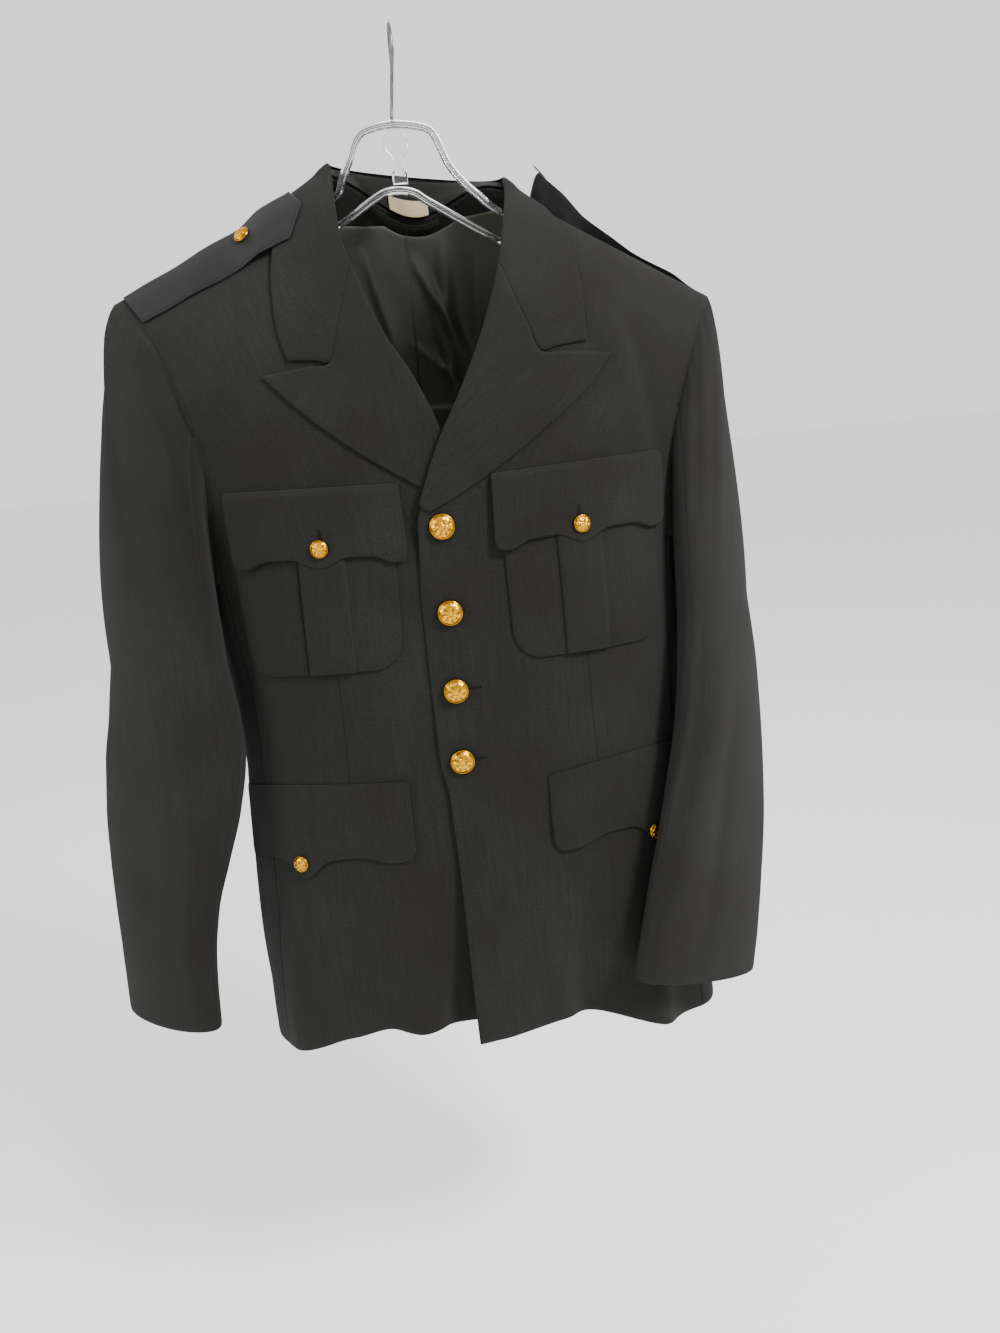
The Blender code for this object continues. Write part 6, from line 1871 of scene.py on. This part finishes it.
@dataclass
class Hanger:
    """Clear moulded hanger with ribbed bars, a centre strut and a wire hook."""

    form: BodyForm
    tailor: Tailor
    bar_radius: float = 0.0038
    arm_drop: float = 0.0021
    arm_tip_x: float = 0.205
    wire_radius: float = 0.0015
    hook_radius: float = 0.0205
    crown: tuple = ((-0.064, -0.132), (-0.056, -0.119), (-0.047, -0.103), (-0.04, -0.088),
            (-0.03, -0.08), (-0.005, -0.0765), (0.022, -0.081), (0.031, -0.09),
            (0.04, -0.112), (0.051, -0.127), (0.062, -0.138), (0.082, -0.154))
    foot: tuple = ((-0.065, -0.156), (-0.03, -0.1375), (-0.018, -0.132), (-0.005, -0.131),
            (0.008, -0.1345), (0.022, -0.144), (0.083, -0.18))
    hook_base: tuple = (-0.006, 0.0, -0.0722)
    # columns: height, half width
    strut: Array = field(default_factory=lambda: np.array([
        [-0.0812, 0.005], [-0.088, 0.01], [-0.096, 0.011], [-0.101, 0.008], [-0.106, 0.0045],
        [-0.113, 0.0045], [-0.118, 0.007], [-0.1266, 0.0065]]))
    strut_x: float = -0.005
    strut_lean: float = 0.02
    strut_thickness: float = 0.004

    def arm(self, side: int, below: bool) -> list[list[float]]:
        """Middle of a bar inside a shoulder, from the neck outward."""
        rows = self.foot if below else self.crown
        start = abs(rows[-1][0] if side > 0 else rows[0][0])
        points = []
        for x in np.linspace(start + 0.03, self.arm_tip_x, 4):
            depth = self.form.cloth + self.form.seam_gap + self.bar_radius + self.arm_drop
            lower = 0.02 * (self.arm_tip_x - x) / (self.arm_tip_x - start) + 0.004 if below else 0.0
            points.append([side * x, 0.0, float(self.form.ridge(side, x)) - depth - lower])
        return points

    def path(self) -> Array:
        """Closed path of the bar: over the crown, out along both arms and back below."""
        crown = [[x, 0.0, z] for x, z in self.crown]
        foot = [[x, 0.0, z] for x, z in self.foot]
        rows = (crown + self.arm(1, False) + self.arm(1, True)[::-1] + foot[::-1]
                + self.arm(-1, True) + self.arm(-1, False)[::-1])
        return spline(np.array(rows), len(rows) * 9, closed=True)

    def hook_path(self) -> Array:
        """Middle of the hook wire from the crown to its tip."""
        points = [np.array(self.hook_base), np.array([-0.0045, 0.0, -0.06]), np.array([-0.003, -0.004,
                -0.048]),
                np.array([-0.0015, -0.014, -0.036])]
        centre = np.array([0.0, 0.0, -self.hook_radius + self.wire_radius])
        for turn in np.linspace(200.0, -20.0, 13):
            angle = math.radians(turn)
            points.append(centre + np.array([0.0, math.cos(angle), math.sin(angle)]) * self.hook_radius)
        return spline(np.array(points), 150)

    def sweep(self, name: str, path: Array, section: Array, finish: str, closed: bool) -> bpy.types.Object:
        """Bar along a path.

        Args:
            name: name of the piece.
            path: middle of the bar.
            section: its section, as offsets across the path and along Y.
            finish: name of its finish.
            closed: whether the path comes back to its start.

        Returns:
            The new object.
        """
        count, sides = len(path), len(section)
        if closed:
            way = unit(np.roll(path, -1, axis=0) - np.roll(path, 1, axis=0))
        else:
            way = unit(np.gradient(path, axis=0))
        across = np.array([0.0, 1.0, 0.0]) if abs(way[0][1]) < 0.5 else np.array([1.0, 0.0, 0.0])
        points = []
        for k in range(count):
            across = unit(across - way[k] * np.dot(across, way[k]))
            other = np.cross(way[k], across)
            points.append(path[k] + section[:, :1] * other + section[:, 1:] * across)
        points = np.concatenate(points)
        faces = []
        for k in range(count if closed else count - 1):
            near, far = k * sides, ((k + 1) % count) * sides
            faces += [(near + c, near + (c + 1) % sides, far + (c + 1) % sides,
                    far + c) for c in range(sides)]
        if not closed:
            start, end = path[0], path[-1]
            points = np.concatenate([points, [start, end]])
            last = (count - 1) * sides
            faces += [(len(points) - 2, (c + 1) % sides, c) for c in range(sides)]
            faces += [(len(points) - 1, last + c, last + (c + 1) % sides) for c in range(sides)]
        area = sum(section[k - 1, 0] * section[k, 1] - section[k, 0] * section[k - 1,
                1] for k in range(sides))
        if area > 0.0:
            faces = [face[::-1] for face in faces]
        return self.tailor.mesh(name, points, faces, finish)

    def build(self) -> None:
        """Make the ribbed bar, the strut and the hook."""
        rib, reach = 0.0013, self.bar_radius - 0.0013
        turns = np.radians(np.linspace(50.0, 310.0, 11))
        right = np.stack([-reach - rib * -np.cos(turns) * -1.0, rib * np.sin(turns)], axis=-1)
        outline = np.concatenate([right, -right])
        piece = self.sweep("Clear_Hanger_Bar", self.path(), outline, "Clear_Plastic", True)
        self.tailor.dress(piece, "clear", ["hanger_frame"])
        turns = 2.0 * math.pi * np.arange(20) / 20
        ring = np.stack([np.cos(turns), np.sin(turns)], axis=-1) * self.wire_radius
        piece = self.sweep("Wire_Hook", self.hook_path(), ring, "Drawn_Wire", False)
        self.tailor.dress(piece, "wire", ["hook_wire"])
        half = Curve.column(self.strut, 1)
        rows = []
        for height in np.linspace(self.strut[-1, 0], self.strut[0, 0], 60):
            lean = self.strut_x + self.strut_lean * (self.strut[0, 0] - height)
            rows.append([[lean + float(half.at(height)) * t, -self.strut_thickness / 2.0, height]
                    for t in np.linspace(-1.0, 1.0, 15)])
        grid = np.array(rows)
        normals = np.zeros_like(grid) + np.array([0.0, -1.0, 0.0])
        piece = self.tailor.wall("Clear_Hanger_Strut", grid, normals, "Clear_Plastic", self.strut_thickness)
        self.tailor.dress(piece, "clear", ["hanger_strut"])


@dataclass
class Studio:
    """Pale floor, soft light and the camera."""

    floor_z: float = -1.35
    floor_reach: float = 60.0
    place: tuple = (-0.042, -0.965, -0.359)
    yaw: float = 4.99
    pitch: float = 12.55
    roll: float = -5.59
    focal_px: float = 998.0
    long_px: float = 1333.0
    sensor: float = 36.0

    def floor(self) -> None:
        """Lay the floor."""
        mesh = bpy.data.meshes.new("Floor")
        reach = self.floor_reach
        mesh.from_pydata([(-reach, -reach, self.floor_z), (reach, -reach, self.floor_z),
                (reach, reach, self.floor_z), (-reach, reach, self.floor_z)], [], [(0, 1, 2, 3)])
        item = bpy.data.objects.new("Floor", mesh)
        bpy.context.scene.collection.objects.link(item)
        sheet = NodeSheet("Pale_Floor")
        shader = sheet.add("ShaderNodeBsdfPrincipled", {"Base Color": colour(0.95, 0.95, 0.95),
                "Roughness": 0.9,
                "Specular IOR Level": 0.1})
        mesh.materials.append(sheet.finish(shader))

    def lamp(self, name: str, place: tuple, aim: tuple, size: float, power: float, tint: tuple) -> None:
        """Hang one soft lamp that looks at a point."""
        data = bpy.data.lights.new(name, "AREA")
        data.shape = "DISK"
        data.size = size
        data.energy = power
        data.color = tint
        item = bpy.data.objects.new(name, data)
        bpy.context.scene.collection.objects.link(item)
        item.location = place
        way = unit(np.array(aim) - np.array(place))
        item.rotation_euler = (math.acos(-way[2]), 0.0, math.atan2(-way[0],
                way[1]) if abs(way[2]) < 0.999 else 0.0)

    def light(self) -> None:
        """Light the scene softly, more from the upper right of the picture."""
        world = bpy.data.worlds.new("Pale_World")
        bpy.context.scene.world = world
        world.use_nodes = True
        back = world.node_tree.nodes["Background"]
        back.inputs["Color"].default_value = (1.0, 1.0, 1.0, 1.0)
        back.inputs["Strength"].default_value = 1.35
        self.lamp("Key_Lamp", (1.4, -1.5, 1.1), (0.0, 0.0, -0.5), 0.6, 105.0, (1.0, 0.98, 0.96))
        self.lamp("Fill_Lamp", (-2.0, -1.3, 0.5), (0.0, 0.0, -0.5), 1.2, 34.0, (0.96, 0.98, 1.0))
        self.lamp("Rim_Lamp", (0.6, 2.0, 1.2), (0.0, 0.0, -0.4), 1.4, 12.0, (1.0, 1.0, 1.0))

    def camera(self) -> None:
        """Set the camera at the picture's viewing angle."""
        yaw, pitch, roll = (math.radians(v) for v in (self.yaw, self.pitch, self.roll))
        forward = np.array([math.sin(yaw) * math.cos(pitch), math.cos(yaw) * math.cos(pitch),
                -math.sin(pitch)])
        right = np.array([math.cos(yaw), -math.sin(yaw), 0.0])
        up = np.cross(right, forward)
        turned = math.cos(roll) * right + math.sin(roll) * up
        raised = -math.sin(roll) * right + math.cos(roll) * up
        data = bpy.data.cameras.new("Camera")
        data.sensor_fit = "AUTO"
        data.sensor_width = self.sensor
        data.lens = self.focal_px / self.long_px * self.sensor
        data.clip_start = 0.02
        item = bpy.data.objects.new("Camera", data)
        bpy.context.scene.collection.objects.link(item)
        matrix = Matrix.Identity(4)
        for row in range(3):
            matrix[row][0], matrix[row][1] = turned[row], raised[row]
            matrix[row][2], matrix[row][3] = -forward[row], self.place[row]
        item.matrix_world = matrix
        bpy.context.scene.camera = item

    def build(self) -> None:
        """Lay the floor, light the scene and set the camera."""
        self.floor()
        self.light()
        self.camera()


BODY_FOLDS = (
    Fold(-1, Face.FRONT, ((0.196, -0.4), (0.19, -0.52), (0.2, -0.64)), 0.01, -0.0048),
    Fold(-1, Face.FRONT, ((0.13, -0.56), (0.16, -0.64)), 0.012, 0.0019),
    Fold(1, Face.FRONT, ((0.04, -0.425), (0.028, -0.52), (0.026, -0.61)), 0.01, -0.0019),
    Fold(1, Face.FRONT, ((0.014, -0.645), (0.044, -0.76), (0.07, -0.9)), 0.012, 0.0035, True),
    Fold(1, Face.FRONT, ((0.05, -0.67), (0.1, -0.8)), 0.012, -0.0026),
    Fold(1, Face.FRONT, ((0.15, -0.24), (0.175, -0.33)), 0.014, 0.0035),
    Fold(1, Face.FRONT, ((0.18, -0.25), (0.198, -0.4)), 0.01, -0.0032),
    Fold(-1, Face.FRONT, ((0.15, -0.23), (0.18, -0.36)), 0.014, -0.0022),
    Fold(-1, Face.FRONT, ((0.03, -0.7), (0.05, -0.88)), 0.012, 0.0026, True),
    Fold(-1, Face.FRONT, ((0.12, -0.76), (0.15, -0.9)), 0.014, -0.0032, True),
    Fold(0, Face.FLANK, ((0.02, -0.5), (0.035, -0.7)), 0.014, -0.0064),
    Fold(0, Face.FLANK, ((-0.03, -0.64), (-0.015, -0.86)), 0.014, 0.0048),
    Fold(0, Face.BACK, ((0.07, -0.3), (0.095, -0.52)), 0.018, -0.0048),
    Fold(0, Face.BACK, ((0.13, -0.42), (0.11, -0.64)), 0.016, 0.0042),
    Fold(0, Face.BACK, ((0.012, -0.54), (0.03, -0.7)), 0.014, 0.0032),
    Fold(0, Face.BACK, ((0.16, -0.33), (0.18, -0.46)), 0.014, -0.0048),
    Fold(-1, Face.BACK, ((0.04, -0.6), (0.14, -0.56)), 0.01, -0.0029),
    Fold(1, Face.BACK, ((0.05, -0.62), (0.15, -0.59)), 0.01, -0.0029),
)


def main() -> None:
    """Build the jacket, its buttons and its hanger, then the studio."""
    logging.basicConfig(level=logging.INFO, format="%(name)s: %(message)s")
    form = BodyForm(folds=BODY_FOLDS)
    tailor = Tailor(Wardrobe())
    turnback = Turnback(form, tailor)
    pockets = Pockets(form, tailor)
    loops = ShoulderLoops(form, tailor)
    parts = (BodyPanels(form, tailor), Sleeves(form, tailor), turnback, pockets, loops,
            NeckInside(form, tailor, turnback), Buttons(form, tailor, pockets, loops),
            DartShadeLines(form, tailor), Hanger(form, tailor))
    for part in parts:
        part.build()
        LOG.info("built %s", type(part).__name__)
    Studio().build()
    total = sum(len(piece.data.polygons) for piece in bpy.data.objects if piece.type == "MESH")
    LOG.info("faces in the scene: %d", total)


if __name__ == "__main__":
    main()
